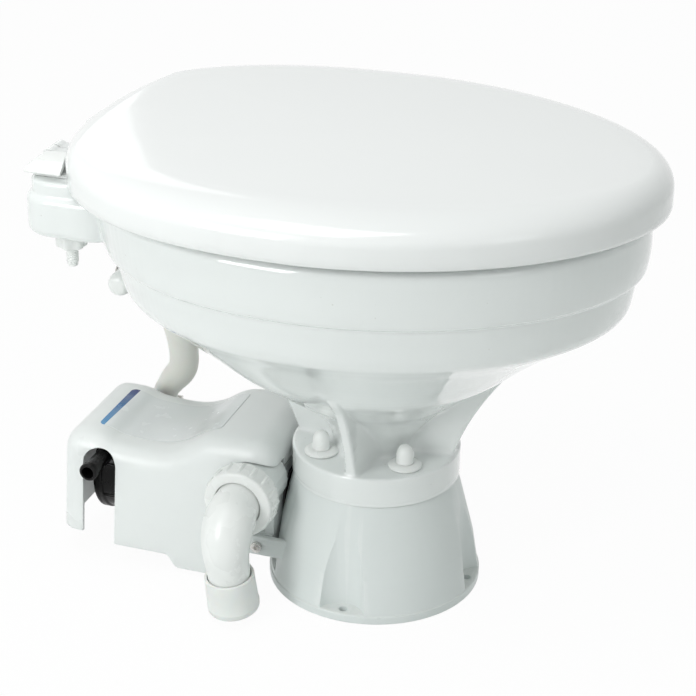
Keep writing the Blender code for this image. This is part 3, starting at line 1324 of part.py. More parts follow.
def make_rotor(axis):
    """The shaft with the blade, both impellers and the armature, which turn as one."""
    end = RINSE_END - GAP
    shaft = on_shaft("motor_shaft", disc(SHAFT_RADIUS, SHAFT_START, end), STEEL, SMALL_STEPS)
    hang(shaft, axis)
    start = PLATE_FRONT + GAP * 4
    span = (start, start + BLADE_THICKNESS)
    star("macerator_blade", BLADE_HUB_RADIUS, BLADE_RADIUS, BLADE_WIDTH, 2, span, STEEL, axis)
    start = PLATE_BACK + CHOPPER_THICKNESS + IMPELLER_START_CLEARANCE
    span = (start, BARREL_END - IMPELLER_END_CLEARANCE)
    sizes = (IMPELLER_HUB_RADIUS, IMPELLER_RADIUS, VANE_THICKNESS, VANES)
    star("discharge_impeller", *sizes, span, BLACK_PLASTIC, axis)
    windings = (CAN_START + ARMATURE_MARGIN, CAN_END - ARMATURE_MARGIN)
    profile = ring(ARMATURE_RADIUS, BORE_RADIUS, *windings)
    hang(on_shaft("motor_armature", profile, STEEL, MEDIUM_STEPS), axis)
    span = (RINSE_START + RINSE_FRONT_WALL + GAP * 2, RINSE_END - GAP * 2)
    sizes = (RINSE_HUB_RADIUS, RINSE_CHAMBER_RADIUS - GAP * 2, RINSE_VANE_THICKNESS, RINSE_VANES)
    star("rinse_impeller", *sizes, span, RUBBER, axis)


def make_motor():
    """The motor's can and its end bell."""
    can = [
        (CAN_RADIUS, CAN_END),
        (CAN_RADIUS, CAN_START),
        (BORE_RADIUS, CAN_START),
        (BORE_RADIUS, CAN_START + CAN_WALL),
        (CAN_RADIUS - CAN_WALL, CAN_START + CAN_WALL),
        (CAN_RADIUS - CAN_WALL, CAN_END - CAN_WALL),
        (BORE_RADIUS, CAN_END - CAN_WALL),
        (BORE_RADIUS, CAN_END),
    ]
    on_shaft("motor_can", can, PAINTED_STEEL)
    bell = ring(CAN_RADIUS, BORE_RADIUS, BELL_START, BELL_START + BELL_THICKNESS)
    on_shaft("motor_end_bell", bell, PAINTED_STEEL)


def make_rinse_pump():
    """The black rinse pump on the motor's far end: its intake to the left, its outlet to the right."""
    chamber = RINSE_START + RINSE_FRONT_WALL
    body = [
        (RINSE_RADIUS, RINSE_END),
        (RINSE_RADIUS, RINSE_START),
        (BORE_RADIUS, RINSE_START),
        (BORE_RADIUS, chamber),
        (RINSE_CHAMBER_RADIUS, chamber),
        (RINSE_CHAMBER_RADIUS, RINSE_END),
    ]
    pump = on_shaft("rinse_pump_housing", body, BLACK_PLASTIC)
    y = RINSE_PORT_Y
    intake = ((-TUBE_ROOT_X, y, INTAKE_Z), (-INTAKE_END_X, y, INTAKE_Z), TUBE_RADIUS)
    join(pump, rods("intake_tube", [intake], BLACK_PLASTIC, SMALL_STEPS))
    outlet = ((OUTLET_ROOT_X, y, OUTLET_Z), (OUTLET_X, y, OUTLET_Z), TUBE_RADIUS)
    join(pump, rods("outlet_tube", [outlet], BLACK_PLASTIC, SMALL_STEPS))
    rise = ((OUTLET_X, y, OUTLET_Z - TUBE_RADIUS), (OUTLET_X, y, OUTLET_TOP), TUBE_RADIUS)
    join(pump, rods("outlet_rise", [rise], BLACK_PLASTIC, SMALL_STEPS))
    foot = (0, COVER_REAR_POST_Y, SHAFT_Z + RINSE_RADIUS - POST_SINK)
    lean = (COVER_REAR_TOP - COVER_DIP_REAR_Z) / (COVER_REAR_FLAT - COVER_DIP_REAR)
    lowest = cover_top(COVER_REAR_POST_Y - COVER_POST_RADIUS)
    top = (0, COVER_REAR_POST_Y, lowest - COVER_WALL * math.hypot(1, lean) - GAP)
    join(pump, rods("pump_cover_post", [(foot, top, COVER_POST_RADIUS)], BLACK_PLASTIC, SMALL_STEPS))
    bore = ((-BORE_ROOT_X, y, INTAKE_Z), (-INTAKE_END_X - OVERRUN, y, INTAKE_Z), TUBE_BORE)
    cut(pump, rods("intake_bore", [bore], BLACK_PLASTIC, SMALL_STEPS))
    bore = ((RINSE_CHAMBER_RADIUS - OVERRUN, y, OUTLET_Z), (OUTLET_X, y, OUTLET_Z), TUBE_BORE)
    cut(pump, rods("outlet_bore", [bore], BLACK_PLASTIC, SMALL_STEPS))
    bore = ((OUTLET_X, y, OUTLET_Z - TUBE_BORE), (OUTLET_X, y, OUTLET_TOP + OVERRUN), TUBE_BORE)
    cut(pump, rods("outlet_rise_bore", [bore], BLACK_PLASTIC, SMALL_STEPS))
    start = RINSE_END + GAP
    plate = disc(RINSE_RADIUS, start, start + RINSE_COVER_THICKNESS)
    on_shaft("rinse_pump_cover", plate, BLACK_PLASTIC)


def cover_stations():
    """The motor cover's top line, from its rear to its front."""
    return [
        (COVER_REAR - COVER_REAR_LEAN, COVER_REAR_TOP),
        (COVER_REAR_FLAT, COVER_REAR_TOP),
        (COVER_DIP_REAR, COVER_DIP_REAR_Z),
        (COVER_DIP_FRONT, COVER_DIP_FRONT_Z),
        (COVER_DIP_START, COVER_DIP_START_Z),
        (COVER_HUMP_FOOT, COVER_HUMP_FOOT_Z),
        (COVER_HUMP_END, COVER_FRONT_TOP),
        (COVER_FRONT, COVER_FRONT_TOP),
    ]


def cover_top(y):
    """The height of the cover's top line at a place along it."""
    stations = cover_stations()
    for (rear, high), (front, low) in zip(stations, stations[1:]):
        if front <= y <= rear:
            return blend(high, low, (rear - y) / (rear - front))
    return stations[0][1]


def make_cover():
    """The motor cover: a side outline drawn across, left open below, rounded and given a wall."""
    outline = [(COVER_REAR, COVER_BOTTOM_REAR)] + cover_stations()
    outline += [
        (COVER_FRONT, COVER_BOTTOM_FRONT),
        (COVER_STEP_FRONT, COVER_BOTTOM_FRONT),
        (COVER_STEP_REAR, COVER_BOTTOM_REAR),
    ]
    open_edges = 3
    shape = bmesh.new()
    sides = []
    for side in (LEFT, RIGHT):
        sides.append([
            shape.verts.new((side * (COVER_HALF_WIDTH - COVER_DRAFT_SHARE * z), y, z))
            for y, z in outline
        ])
    for spot in range(len(outline) - open_edges):
        left, right = sides
        shape.faces.new((left[spot], left[spot + 1], right[spot + 1], right[spot]))
    shape.faces.new(sides[0])
    shape.faces.new(sides[1])
    bmesh.ops.recalc_face_normals(shape, faces=shape.faces)
    cover = add_object("motor_cover", mesh_of("motor_cover", shape), COVER_PLASTIC)
    bevel(cover, COVER_ROUNDING, 3)
    wall = cover.modifiers.new("wall", "SOLIDIFY")
    wall.thickness = COVER_WALL
    wall.offset = -1
    wall.use_even_offset = True

    far = COVER_HALF_WIDTH + OVERRUN
    front = COVER_FRONT - OVERRUN
    cuts = [((-far, front, -OVERRUN), (far, COVER_SIDE_START, DISCHARGE_Z))]
    cut(cover, boxes("cover_front_cut", cuts, COVER_PLASTIC))
    cuts = [((-far, front, -OVERRUN), (far, COVER_FRONT + COVER_ROUNDING / 2, COVER_FRONT_WALL_BOTTOM))]
    cut(cover, boxes("cover_front_wall_cut", cuts, COVER_PLASTIC))
    arch_end = OVERRUN - STUB_ROOT_X
    arch = ((-far, DISCHARGE_Y, DISCHARGE_Z), (arch_end, DISCHARGE_Y, DISCHARGE_Z), PORT_ARCH_RADIUS)
    cut(cover, rods("cover_port_arch", [arch], COVER_PLASTIC, MEDIUM_STEPS))
    slot_low = (-far, RINSE_PORT_Y - SLOT_HALF_WIDTH, -OVERRUN)
    slot_high = (far, RINSE_PORT_Y + SLOT_HALF_WIDTH, SLOT_ARCH_Z)
    cut(cover, boxes("cover_slots", [(slot_low, slot_high)], COVER_PLASTIC))
    arch = ((-far, RINSE_PORT_Y, SLOT_ARCH_Z), (far, RINSE_PORT_Y, SLOT_ARCH_Z), SLOT_HALF_WIDTH)
    cut(cover, rods("cover_slot_arches", [arch], COVER_PLASTIC, MEDIUM_STEPS))
    make_label()
    return cover


def make_label():
    """A bare sticker that follows the cover's top line."""
    bends = [y for y, _ in cover_stations() if LABEL_FRONT < y < LABEL_REAR]
    places = [LABEL_REAR] + bends + [LABEL_FRONT]
    rings = []
    for y in places:
        low = cover_top(y) + GAP
        high = low + LABEL_THICKNESS
        rings.append([
            (-LABEL_HALF_WIDTH, y, low),
            (LABEL_HALF_WIDTH, y, low),
            (LABEL_HALF_WIDTH, y, high),
            (-LABEL_HALF_WIDTH, y, high),
        ])
    loft("cover_label", rings, LABEL_FILM, closed=False)


def make_union_nut(axis):
    """The nut on the discharge stub, with ribs round it and a lip over the elbow's flange."""
    end = NUT_START_X + NUT_LENGTH
    inside = STUB_RADIUS + GAP
    barrel = NUT_RADIUS - NUT_RIB_DEPTH
    profile = [
        (barrel, end),
        (barrel, NUT_START_X),
        (inside, NUT_START_X),
        (inside, end - NUT_LIP),
        (NUT_LIP_RADIUS, end - NUT_LIP),
        (NUT_LIP_RADIUS, end),
    ]
    place = (0, DISCHARGE_Y, DISCHARGE_Z)
    nut = turned("union_nut", profile, WHITE_PLASTIC, place, AGAINST_X)
    shape = bmesh.new()
    inner = (barrel + inside) / 2
    length = NUT_LENGTH - NUT_LIP
    for spot in range(NUT_RIBS):
        size = Matrix.Diagonal((length, NUT_RIB_WIDTH, NUT_RADIUS - inner, 1))
        out = Matrix.Translation((-NUT_START_X - length / 2, 0, (NUT_RADIUS + inner) / 2))
        turn = Matrix.Rotation(math.tau * spot / NUT_RIBS, 4, "X")
        bmesh.ops.create_cube(shape, size=1, matrix=Matrix.Translation(place) @ turn @ out @ size)
    join(nut, add_object("union_nut_ribs", mesh_of("union_nut_ribs", shape), WHITE_PLASTIC))
    hang(nut, axis)


def elbow_path():
    """The elbow's line from its flange to its end, in its own frame, the port's axis being local X."""
    bend_x = -(STUB_END_X + ELBOW_FLANGE_DEPTH + ELBOW_STRAIGHT)
    points = [(-(STUB_END_X + ELBOW_FLANGE_DEPTH), 0, 0)]
    for step in range(ELBOW_BEND_STEPS + 1):
        turn = math.pi / 2 * step / ELBOW_BEND_STEPS
        points.append((bend_x - ELBOW_BEND * math.sin(turn), 0, -ELBOW_BEND * (1 - math.cos(turn))))
    points.append((bend_x - ELBOW_BEND, 0, -ELBOW_BEND - ELBOW_LEG / 2))
    points.append((bend_x - ELBOW_BEND, 0, -ELBOW_BEND - ELBOW_LEG))
    return [Vector(point) for point in points]


def tube(name, points, radii, finish, resolution=4):
    """A solid round bar along points, as a mesh with welded caps."""
    curve = bpy.data.curves.new(name, "CURVE")
    curve.dimensions = "3D"
    curve.bevel_depth = 1
    curve.bevel_resolution = resolution
    curve.use_fill_caps = True
    spline = curve.splines.new("POLY")
    spline.points.add(len(points) - 1)
    for spot, (point, radius) in enumerate(zip(points, radii)):
        spline.points[spot].co = (*point, 1)
        spline.points[spot].radius = radius
    source = bpy.data.objects.new(name + "_line", curve)
    PARTS.objects.link(source)
    bpy.context.view_layer.update()
    seen = source.evaluated_get(bpy.context.evaluated_depsgraph_get())
    data = bpy.data.meshes.new_from_object(seen)
    shape = bmesh.new()
    shape.from_mesh(data)
    bmesh.ops.remove_doubles(shape, verts=shape.verts, dist=MERGE_DISTANCE)
    bmesh.ops.recalc_face_normals(shape, faces=shape.faces)
    shape.to_mesh(data)
    shape.free()
    data.materials.clear()
    made = add_object(name, data, finish)
    made.matrix_world = source.matrix_world
    bpy.data.objects.remove(source, do_unlink=True)
    bpy.data.curves.remove(curve)
    return made


def extended(points, length):
    """The points with both ends drawn out along their own direction."""
    first = points[0] + (points[0] - points[1]).normalized() * length
    last = points[-1] + (points[-1] - points[-2]).normalized() * length
    return [first] + points[1:-1] + [last]


def make_discharge(axis):
    """The joker valve at the stub's end, and the elbow and its cuff, which swivel together."""
    start = STUB_END_X + GAP
    valve_end = start + VALVE_FLANGE
    valve = [
        (VALVE_MOUTH + VALVE_WALL, start + VALVE_LENGTH),
        (VALVE_BORE + VALVE_WALL - GAP * 2, valve_end),
        (VALVE_RADIUS, valve_end),
        (VALVE_RADIUS, start),
        (VALVE_BORE, start),
        (VALVE_MOUTH, start + VALVE_LENGTH),
    ]
    place = (0, DISCHARGE_Y, DISCHARGE_Z)
    turned("joker_valve", valve, RUBBER, place, AGAINST_X, MEDIUM_STEPS)

    path = elbow_path()
    shares = [spot / (len(path) - 1) for spot in range(len(path))]
    radii = [blend(ELBOW_RADIUS, ELBOW_END_RADIUS, ease(share)) for share in shares]
    elbow = tube("discharge_elbow", path, radii, WHITE_PLASTIC)
    flange_start = -(STUB_END_X + ELBOW_FLANGE_DEPTH)
    flange = ((flange_start, 0, 0), (flange_start - ELBOW_FLANGE_THICKNESS, 0, 0), ELBOW_FLANGE_RADIUS)
    collar = rods("elbow_flange", [flange], WHITE_PLASTIC, MEDIUM_STEPS)
    bore = tube("elbow_bore", extended(path, OVERRUN), [ELBOW_BORE] * len(path), WHITE_PLASTIC)
    leg = path[-1] - path[-2]
    down = leg.normalized()
    cuff_start = path[-1] - down * CUFF_OVERLAP
    cuff_end = cuff_start + down * CUFF_LENGTH
    cuff = tube(
        "discharge_cuff", [cuff_start, cuff_end], [CUFF_RADIUS, CUFF_END_RADIUS], WHITE_RUBBER, 5
    )
    room = ELBOW_END_RADIUS + CUFF_SOCKET_CLEARANCE
    socket = [(cuff_start - down * OVERRUN, path[-1] + down * GAP, room)]
    socket = rods("cuff_socket", socket, WHITE_RUBBER, MEDIUM_STEPS)
    through = [(cuff_start, cuff_end + down * OVERRUN, CUFF_BORE)]
    through = rods("cuff_bore", through, WHITE_RUBBER, MEDIUM_STEPS)
    join(elbow, collar)
    cut(elbow, bore)
    cut(cuff, socket)
    cut(cuff, through)
    for obj in (elbow, collar, bore, cuff, socket, through):
        obj.parent = axis
        obj.location = (0, 0, 0)


def smooth_points(route, steps):
    """Points of a smooth curve through a route's own points."""
    route = [Vector(point) for point in route]
    padded = [route[0] * 2 - route[1]] + route + [route[-1] * 2 - route[-2]]
    points = []
    for before, start, end, after in zip(padded, padded[1:], padded[2:], padded[3:]):
        for step in range(steps):
            t = step / steps
            points.append(
                (
                    start * 2
                    + (end - before) * t
                    + (before * 2 - start * 5 + end * 4 - after) * t**2
                    + (start * 3 - before - end * 3 + after) * t**3
                )
                / 2
            )
    return points + [route[-1]]


def hose_points():
    """The hose's line, from the rinse pump's outlet to the elbow behind the bowl."""
    start = Vector((OUTLET_X, RINSE_PORT_Y, OUTLET_Z + TUBE_RADIUS + GAP))
    end = Vector((INLET_X + INLET_BODY_REACH + GAP, INLET_Y, INLET_Z))
    reach = end - start
    route = [start + Vector(a * b for a, b in zip(reach, shares)) for shares in HOSE_SHARES]
    return smooth_points(route, HOSE_STEPS_PER_SPAN)


def make_flush_line():
    """The flush hose between the rinse pump's outlet and the elbow at the bowl, with its clamps."""
    points = hose_points()
    hose = tube("flush_hose", points, [HOSE_RADIUS] * len(points), HOSE_VINYL, HOSE_BEVEL_RESOLUTION)
    room = [TUBE_RADIUS + HOSE_WALL_CLEARANCE] * len(points)
    cut(hose, tube("hose_bore", extended(points, OVERRUN), room, HOSE_VINYL, HOSE_BEVEL_RESOLUTION))
    inside = HOSE_RADIUS + GAP
    outside = inside + CLAMP_THICKNESS
    bottom = points[0].z + CLAMP_INSET
    profile = ring(outside, inside, bottom, bottom + CLAMP_WIDTH)
    turned("hose_clamp_lower", profile, STEEL, (OUTLET_X, RINSE_PORT_Y, 0), steps=MEDIUM_STEPS)
    start = points[-1].x + CLAMP_INSET
    profile = ring(outside + GAP, inside + GAP, start, start + CLAMP_WIDTH)
    turned("hose_clamp_upper", profile, STEEL, (0, INLET_Y, INLET_Z), ALONG_X, MEDIUM_STEPS)

    middle = (INLET_X, INLET_Y, INLET_Z)
    body_near = (INLET_X - INLET_BODY_RADIUS, INLET_Y, INLET_Z)
    body_far = (INLET_X + INLET_BODY_REACH, INLET_Y, INLET_Z)
    elbow = rods("inlet_elbow", [(body_near, body_far, INLET_BODY_RADIUS)], WHITE_PLASTIC, MEDIUM_STEPS)
    bevel(elbow, INLET_BODY_RADIUS / 3, 2)
    spigot_end = (INLET_X, INLET_SPIGOT_END, INLET_Z)
    join(elbow, rods("inlet_spigot", [(middle, spigot_end, TUBE_RADIUS)], WHITE_PLASTIC, SMALL_STEPS))
    barb_end = (INLET_X + INLET_BARB_LENGTH, INLET_Y, INLET_Z)
    join(elbow, rods("inlet_barb", [(middle, barb_end, TUBE_RADIUS)], WHITE_PLASTIC, SMALL_STEPS))
    end = (INLET_X, INLET_SPIGOT_END - OVERRUN, INLET_Z)
    cut(elbow, rods("inlet_bore", [(middle, end, TUBE_BORE)], WHITE_PLASTIC, SMALL_STEPS))
    near = (INLET_X - TUBE_BORE, INLET_Y, INLET_Z)
    far = (INLET_X + INLET_BARB_LENGTH + OVERRUN, INLET_Y, INLET_Z)
    cut(elbow, rods("inlet_barb_bore", [(near, far, TUBE_BORE)], WHITE_PLASTIC, SMALL_STEPS))
    profile = ring(GROMMET_OUTER, TUBE_RADIUS + GAP, GROMMET_START, GROMMET_END)
    turned("inlet_grommet", profile, RUBBER, (INLET_X, 0, INLET_Z), ALONG_Y, MEDIUM_STEPS)


for old in list(bpy.data.objects):
    bpy.data.objects.remove(old, do_unlink=True)

PARTS = collection("electric_marine_toilet")
TOOLS = collection("cutters")

CERAMIC = material("glazed ceramic", (0.86, 0.88, 0.87), 0.12)
LID_PLASTIC = material("gloss lid plastic", (0.90, 0.91, 0.90), 0.22)
SATIN_PLASTIC = material("satin pedestal plastic", (0.80, 0.83, 0.82), 0.38)
COVER_PLASTIC = material("satin cover plastic", (0.86, 0.88, 0.87), 0.40)
WHITE_PLASTIC = material("white fitting plastic", (0.88, 0.90, 0.88), 0.35)
WHITE_RUBBER = material("white cuff rubber", (0.84, 0.86, 0.84), 0.50)
HOSE_VINYL = material("off-white vinyl", (0.85, 0.85, 0.80), 0.40)
BLACK_PLASTIC = material("black pump plastic", (0.02, 0.02, 0.02), 0.40)
RUBBER = material("dark rubber", (0.05, 0.05, 0.05), 0.60)
STEEL = material("stainless steel", (0.60, 0.60, 0.60), 0.30, 1.0)
PAINTED_STEEL = material("painted motor steel", (0.10, 0.10, 0.11), 0.45)
LABEL_FILM = material("label film", (0.90, 0.91, 0.91), 0.30)

SEAT_AXIS = empty("seat_axis", (0, HINGE_Y, HINGE_Z))
LID_AXIS = empty("lid_axis", (0, HINGE_Y, HINGE_Z))
ROTOR_AXIS = empty("rotor_axis", (0, 0, SHAFT_Z))
NUT_AXIS = empty("nut_axis", (0, DISCHARGE_Y, DISCHARGE_Z))
ELBOW_AXIS = empty("elbow_axis", (0, DISCHARGE_Y, DISCHARGE_Z))
ELBOW_AXIS.rotation_euler = (-ELBOW_TILT, 0, 0)

make_base()
make_bowl()
make_bowl_fixings()
make_seat(SEAT_AXIS)
make_lid(LID_AXIS)
make_buffers(SEAT_AXIS, LID_AXIS)
make_hinges()
make_macerator()
make_rotor(ROTOR_AXIS)
make_motor()
make_rinse_pump()
make_cover()
make_union_nut(NUT_AXIS)
make_discharge(ELBOW_AXIS)
make_flush_line()
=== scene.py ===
"""Electric marine toilet: the finished look of every piece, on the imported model's own bodies.

Shapes are written in millimetres and scaled to metres when a piece is finished. +Z is up, the
bowl's front points to -Y, the hinges and the pump are at +Y, and the discharge port points to -X.
"""

import json
import math

import bmesh
import bpy
from mathutils import Matrix, Vector
from mathutils.bvhtree import BVHTree


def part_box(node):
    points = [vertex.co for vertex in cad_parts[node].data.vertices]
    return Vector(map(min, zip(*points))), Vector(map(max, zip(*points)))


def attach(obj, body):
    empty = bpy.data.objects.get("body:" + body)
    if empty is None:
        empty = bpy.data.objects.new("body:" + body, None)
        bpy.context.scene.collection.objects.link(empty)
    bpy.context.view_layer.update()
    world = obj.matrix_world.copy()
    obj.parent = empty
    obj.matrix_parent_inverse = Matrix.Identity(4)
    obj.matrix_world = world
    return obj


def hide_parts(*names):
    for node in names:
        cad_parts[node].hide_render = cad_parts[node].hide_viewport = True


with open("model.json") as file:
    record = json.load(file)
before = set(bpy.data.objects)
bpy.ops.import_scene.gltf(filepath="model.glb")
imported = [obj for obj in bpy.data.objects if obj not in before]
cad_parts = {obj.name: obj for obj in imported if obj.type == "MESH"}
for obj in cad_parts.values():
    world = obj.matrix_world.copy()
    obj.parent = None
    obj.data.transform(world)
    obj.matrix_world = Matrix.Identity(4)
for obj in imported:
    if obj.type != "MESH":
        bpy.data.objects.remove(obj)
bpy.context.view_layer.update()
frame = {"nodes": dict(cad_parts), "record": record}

MM = 0.001
QUARTER = math.pi / 2
SIDES = ((-1, "left"), (1, "right"))


# ---------------------------------------------------------------------------------------------
# Objects and shader nodes


def placed(name, data):
    """A new object in the scene."""
    made = bpy.data.objects.new(name, data)
    bpy.context.scene.collection.objects.link(made)
    return made


def raw(name, shape):
    """A working object of a form, which is in millimetres until it is finished."""
    data = bpy.data.meshes.new(name)
    shape.to_mesh(data)
    shape.free()
    return placed(name, data)


def feed(tree, socket, value):
    """Links an input where the value is a socket, and gives it the plain value otherwise."""
    if isinstance(value, bpy.types.NodeSocket):
        tree.links.new(value, socket)
    else:
        socket.default_value = (*value, 1) if socket.type == "RGBA" else value


def add_node(tree, kind, *inputs, **named):
    """A shader node with its inputs in order and by name, where underscores stand for spaces."""
    made = tree.nodes.new("ShaderNode" + kind)
    for socket, value in zip(made.inputs, inputs):
        feed(tree, socket, value)
    for title, value in named.items():
        feed(tree, made.inputs[title.replace("_", " ")], value)
    return made


def math_node(tree, operation, first, second):
    made = add_node(tree, "Math", first, second)
    made.operation = operation
    return made.outputs[0]


def product(tree, first, *others):
    for other in others:
        first = math_node(tree, "MULTIPLY", first, other)
    return first


def spread(tree, value, *limits):
    """A value carried from one range to another, or to 0 to 1."""
    return add_node(tree, "MapRange", value, *limits).outputs[0]


def object_space(tree):
    return add_node(tree, "TexCoord").outputs["Object"]


def noise(tree, place, scale, detail, **named):
    made = add_node(tree, "TexNoise", Vector=place, Scale=scale, Detail=detail, **named)
    return made.outputs["Fac"]


def mixed_colour(tree, share, first, second):
    made = tree.nodes.new("ShaderNodeMix")
    made.data_type = "RGBA"
    for number, value in ((0, share), (6, first), (7, second)):
        feed(tree, made.inputs[number], value)
    return made.outputs[2]


# ---------------------------------------------------------------------------------------------
# Camera, lamps and floor


def photograph_camera():
    """The photograph's camera, from its bearing, tilt and roll about a point in the bowl."""
    azimuth, elevation, roll = (math.radians(angle) for angle in (-71.38, 25.3, 0.67))
    back = Vector((
        math.sin(azimuth) * math.cos(elevation),
        -math.cos(azimuth) * math.cos(elevation),
        math.sin(elevation),
    ))
    right = Vector((0, 0, 1)).cross(back).normalized()
    up = back.cross(right)
    rolled_right = right * math.cos(roll) + up * math.sin(roll)
    rolled_up = up * math.cos(roll) - right * math.sin(roll)
    target = Vector((-4.46, 21.9, 185.85)) * MM
    data = bpy.data.cameras.new("photograph_camera")
    data.lens, data.sensor_width, data.clip_end = 103.45, 36, 20
    camera = placed("photograph_camera", data)
    turn = Matrix((rolled_right, rolled_up, back)).transposed().to_4x4()
    camera.matrix_world = Matrix.Translation(target + back * 1.4666) @ turn
    bpy.context.scene.camera = camera


def soft_lamp(name, place, aim, size, power):
    """A rectangular soft box that faces a point."""
    data = bpy.data.lights.new(name, "AREA")
    data.shape = "RECTANGLE"
    data.size, data.size_y = size
    data.energy = power
    lamp = placed(name, data)
    lamp.location = place
    lamp.rotation_euler = (Vector(aim) - Vector(place)).to_track_quat("-Z", "Y").to_euler()


def seen_directly(tree):
    """1 where the camera, a reflection or a view through glass meets a surface."""
    path = add_node(tree, "LightPath").outputs
    first = math_node(tree, "MAXIMUM", path["Is Camera Ray"], path["Is Glossy Ray"])
    return math_node(tree, "MAXIMUM", first, path["Is Transmission Ray"])


def two_faced(owner, output, share, lit, seen):
    """A world or a material that lights with one shader and is seen as another."""
    owner.use_nodes = True
    tree = owner.node_tree
    tree.nodes.clear()
    share = product(tree, seen_directly(tree), share)
    lit, seen = (add_node(tree, kind, **values).outputs[0] for kind, values in (lit, seen))
    mix = add_node(tree, "MixShader", share, lit, seen)
    add_node(tree, output, Surface=mix.outputs[0])


def white_surroundings():
    """A white world that lights the object gently and shows plain white behind it."""
    world = bpy.data.worlds.new("white_surroundings")
    bpy.context.scene.world = world
    gentle = {"Color": (0.96, 1.0, 0.985), "Strength": 0.46}
    white = {"Color": (1, 1, 1), "Strength": 1.0}
    two_faced(world, "OutputWorld", 1.0, ("Background", gentle), ("Background", white))


def pale_floor():
    """A wide floor that reads white and keeps the object's shadow."""
    shape = bmesh.new()
    bmesh.ops.create_grid(shape, x_segments=8, y_segments=8, size=4)
    floor = raw("studio_floor", shape)
    floor.location.z = -0.0004
    finish = bpy.data.materials.new("studio_floor")
    pale, white = {"Color": (0.86, 0.88, 0.87)}, {"Color": (1, 1, 1)}
    two_faced(finish, "OutputMaterial", 0.96, ("BsdfDiffuse", pale), ("Emission", white))
    floor.data.materials.append(finish)


# ---------------------------------------------------------------------------------------------
# Finishes: effects that several materials share


def new_group(name, outputs, **inputs):
    """An empty shader node group with its inner sockets. A tuple is a colour, the rest numbers."""
    group = bpy.data.node_groups.new(name, "ShaderNodeTree")
    for title, value in inputs.items():
        colour = isinstance(value, tuple)
        kind = "NodeSocketColor" if colour else "NodeSocketFloat"
        socket = group.interface.new_socket(title, in_out="INPUT", socket_type=kind)
        socket.default_value = (*value, 1) if colour else value
    for title in outputs:
        kind = "NodeSocketColor" if title == "Color" else "NodeSocketFloat"
        group.interface.new_socket(title, in_out="OUTPUT", socket_type=kind)
    given = group.nodes.new("NodeGroupInput").outputs
    return group, given, group.nodes.new("NodeGroupOutput").inputs


def toned(group, given, result, mask, second):
    """Ends a group with its mask, and its colour mixed toward a second one by that mask."""
    mask = product(group, mask, given["Amount"])
    feed(group, result["Color"], mixed_colour(group, mask, given["Color"], given[second]))
    feed(group, result["Mask"], mask)
    return group


def cloudy_tone():
    """A colour that drifts slightly from place to place, and the drift as a mask."""
    group, given, result = new_group(
        "cloudy_tone", ("Color", "Mask"),
        Color=(0.8, 0.8, 0.8), Tint=(0.7, 0.7, 0.7), Scale=9.0, Amount=0.3,
    )
    clouds = noise(group, object_space(group), given["Scale"], 5.0, Roughness=0.55)
    return toned(group, given, result, spread(group, clouds, 0.35, 0.68), "Tint")


def moulded_grain():
    """The height of a fine spark-eroded grain, as a moulded plastic's surface has it."""
    group, given, result = new_group("moulded_grain", ("Height",), Scale=900.0, Softness=0.5)
    place = object_space(group)
    grain = noise(group, place, given["Scale"], 3.0, Roughness=given["Softness"])
    wider = product(group, given["Scale"], 0.6)
    cells = add_node(group, "TexVoronoi", Vector=place, Scale=wider).outputs["Distance"]
    feed(group, result["Height"], math_node(group, "ADD", grain, product(group, cells, 0.4)))
    return group


def flow_ripple():
    """The height of the slow ripple that glaze, or plastic as it cools, leaves in a glossy skin."""
    group, given, result = new_group("flow_ripple", ("Height", "Pit Mask"), Scale=14.0, Pits=0.2)
    place = object_space(group)
    swell = noise(group, place, given["Scale"], 2.0, Roughness=0.4, Distortion=0.3)
    pits = add_node(group, "TexVoronoi", Vector=place, Scale=160.0, Randomness=1.0)
    near = spread(group, pits.outputs["Distance"], 0.05, 0.12, 1.0, 0.0)
    few = math_node(group, "GREATER_THAN", noise(group, place, 37.0, 1.0), 0.62)
    spots = product(group, near, few, given["Pits"])
    feed(group, result["Height"], math_node(group, "SUBTRACT", swell, spots))
    feed(group, result["Pit Mask"], spots)
    return group


def settled_dust():
    """A thin film of dust on what faces up and near the floor, as a colour and a mask."""
    group, given, result = new_group(
        "settled_dust", ("Color", "Mask"),
        Color=(0.8, 0.8, 0.8), Dust=(0.62, 0.61, 0.57), Amount=0.12,
    )
    facing = add_node(group, "SeparateXYZ", add_node(group, "NewGeometry").outputs["Normal"])
    upward = spread(group, facing.outputs["Z"], 0.2, 1.0)
    place = object_space(group)
    height = add_node(group, "SeparateXYZ", place).outputs["Z"]
    low = spread(group, height, 0.0, 0.14, 1.0, 0.15)
    mask = product(group, upward, low, noise(group, place, 46.0, 6.0, Roughness=0.7))
    return toned(group, given, result, mask, "Dust")


def worn_edge():
    """A lighter or duller tone along convex edges, where hands and tools rub."""
    group, given, result = new_group(
        "worn_edge", ("Color", "Mask"),
        Color=(0.8, 0.8, 0.8), Edge=(0.9, 0.9, 0.9), Amount=0.3,
    )
    sharp = spread(group, add_node(group, "NewGeometry").outputs["Pointiness"], 0.52, 0.6)
    mask = product(group, sharp, noise(group, object_space(group), 120.0, 3.0))
    return toned(group, given, result, mask, "Edge")


CLOUDY_TONE, MOULDED_GRAIN, FLOW_RIPPLE = cloudy_tone(), moulded_grain(), flow_ripple()
SETTLED_DUST, WORN_EDGE = settled_dust(), worn_edge()


# ---------------------------------------------------------------------------------------------
# Finishes: the materials


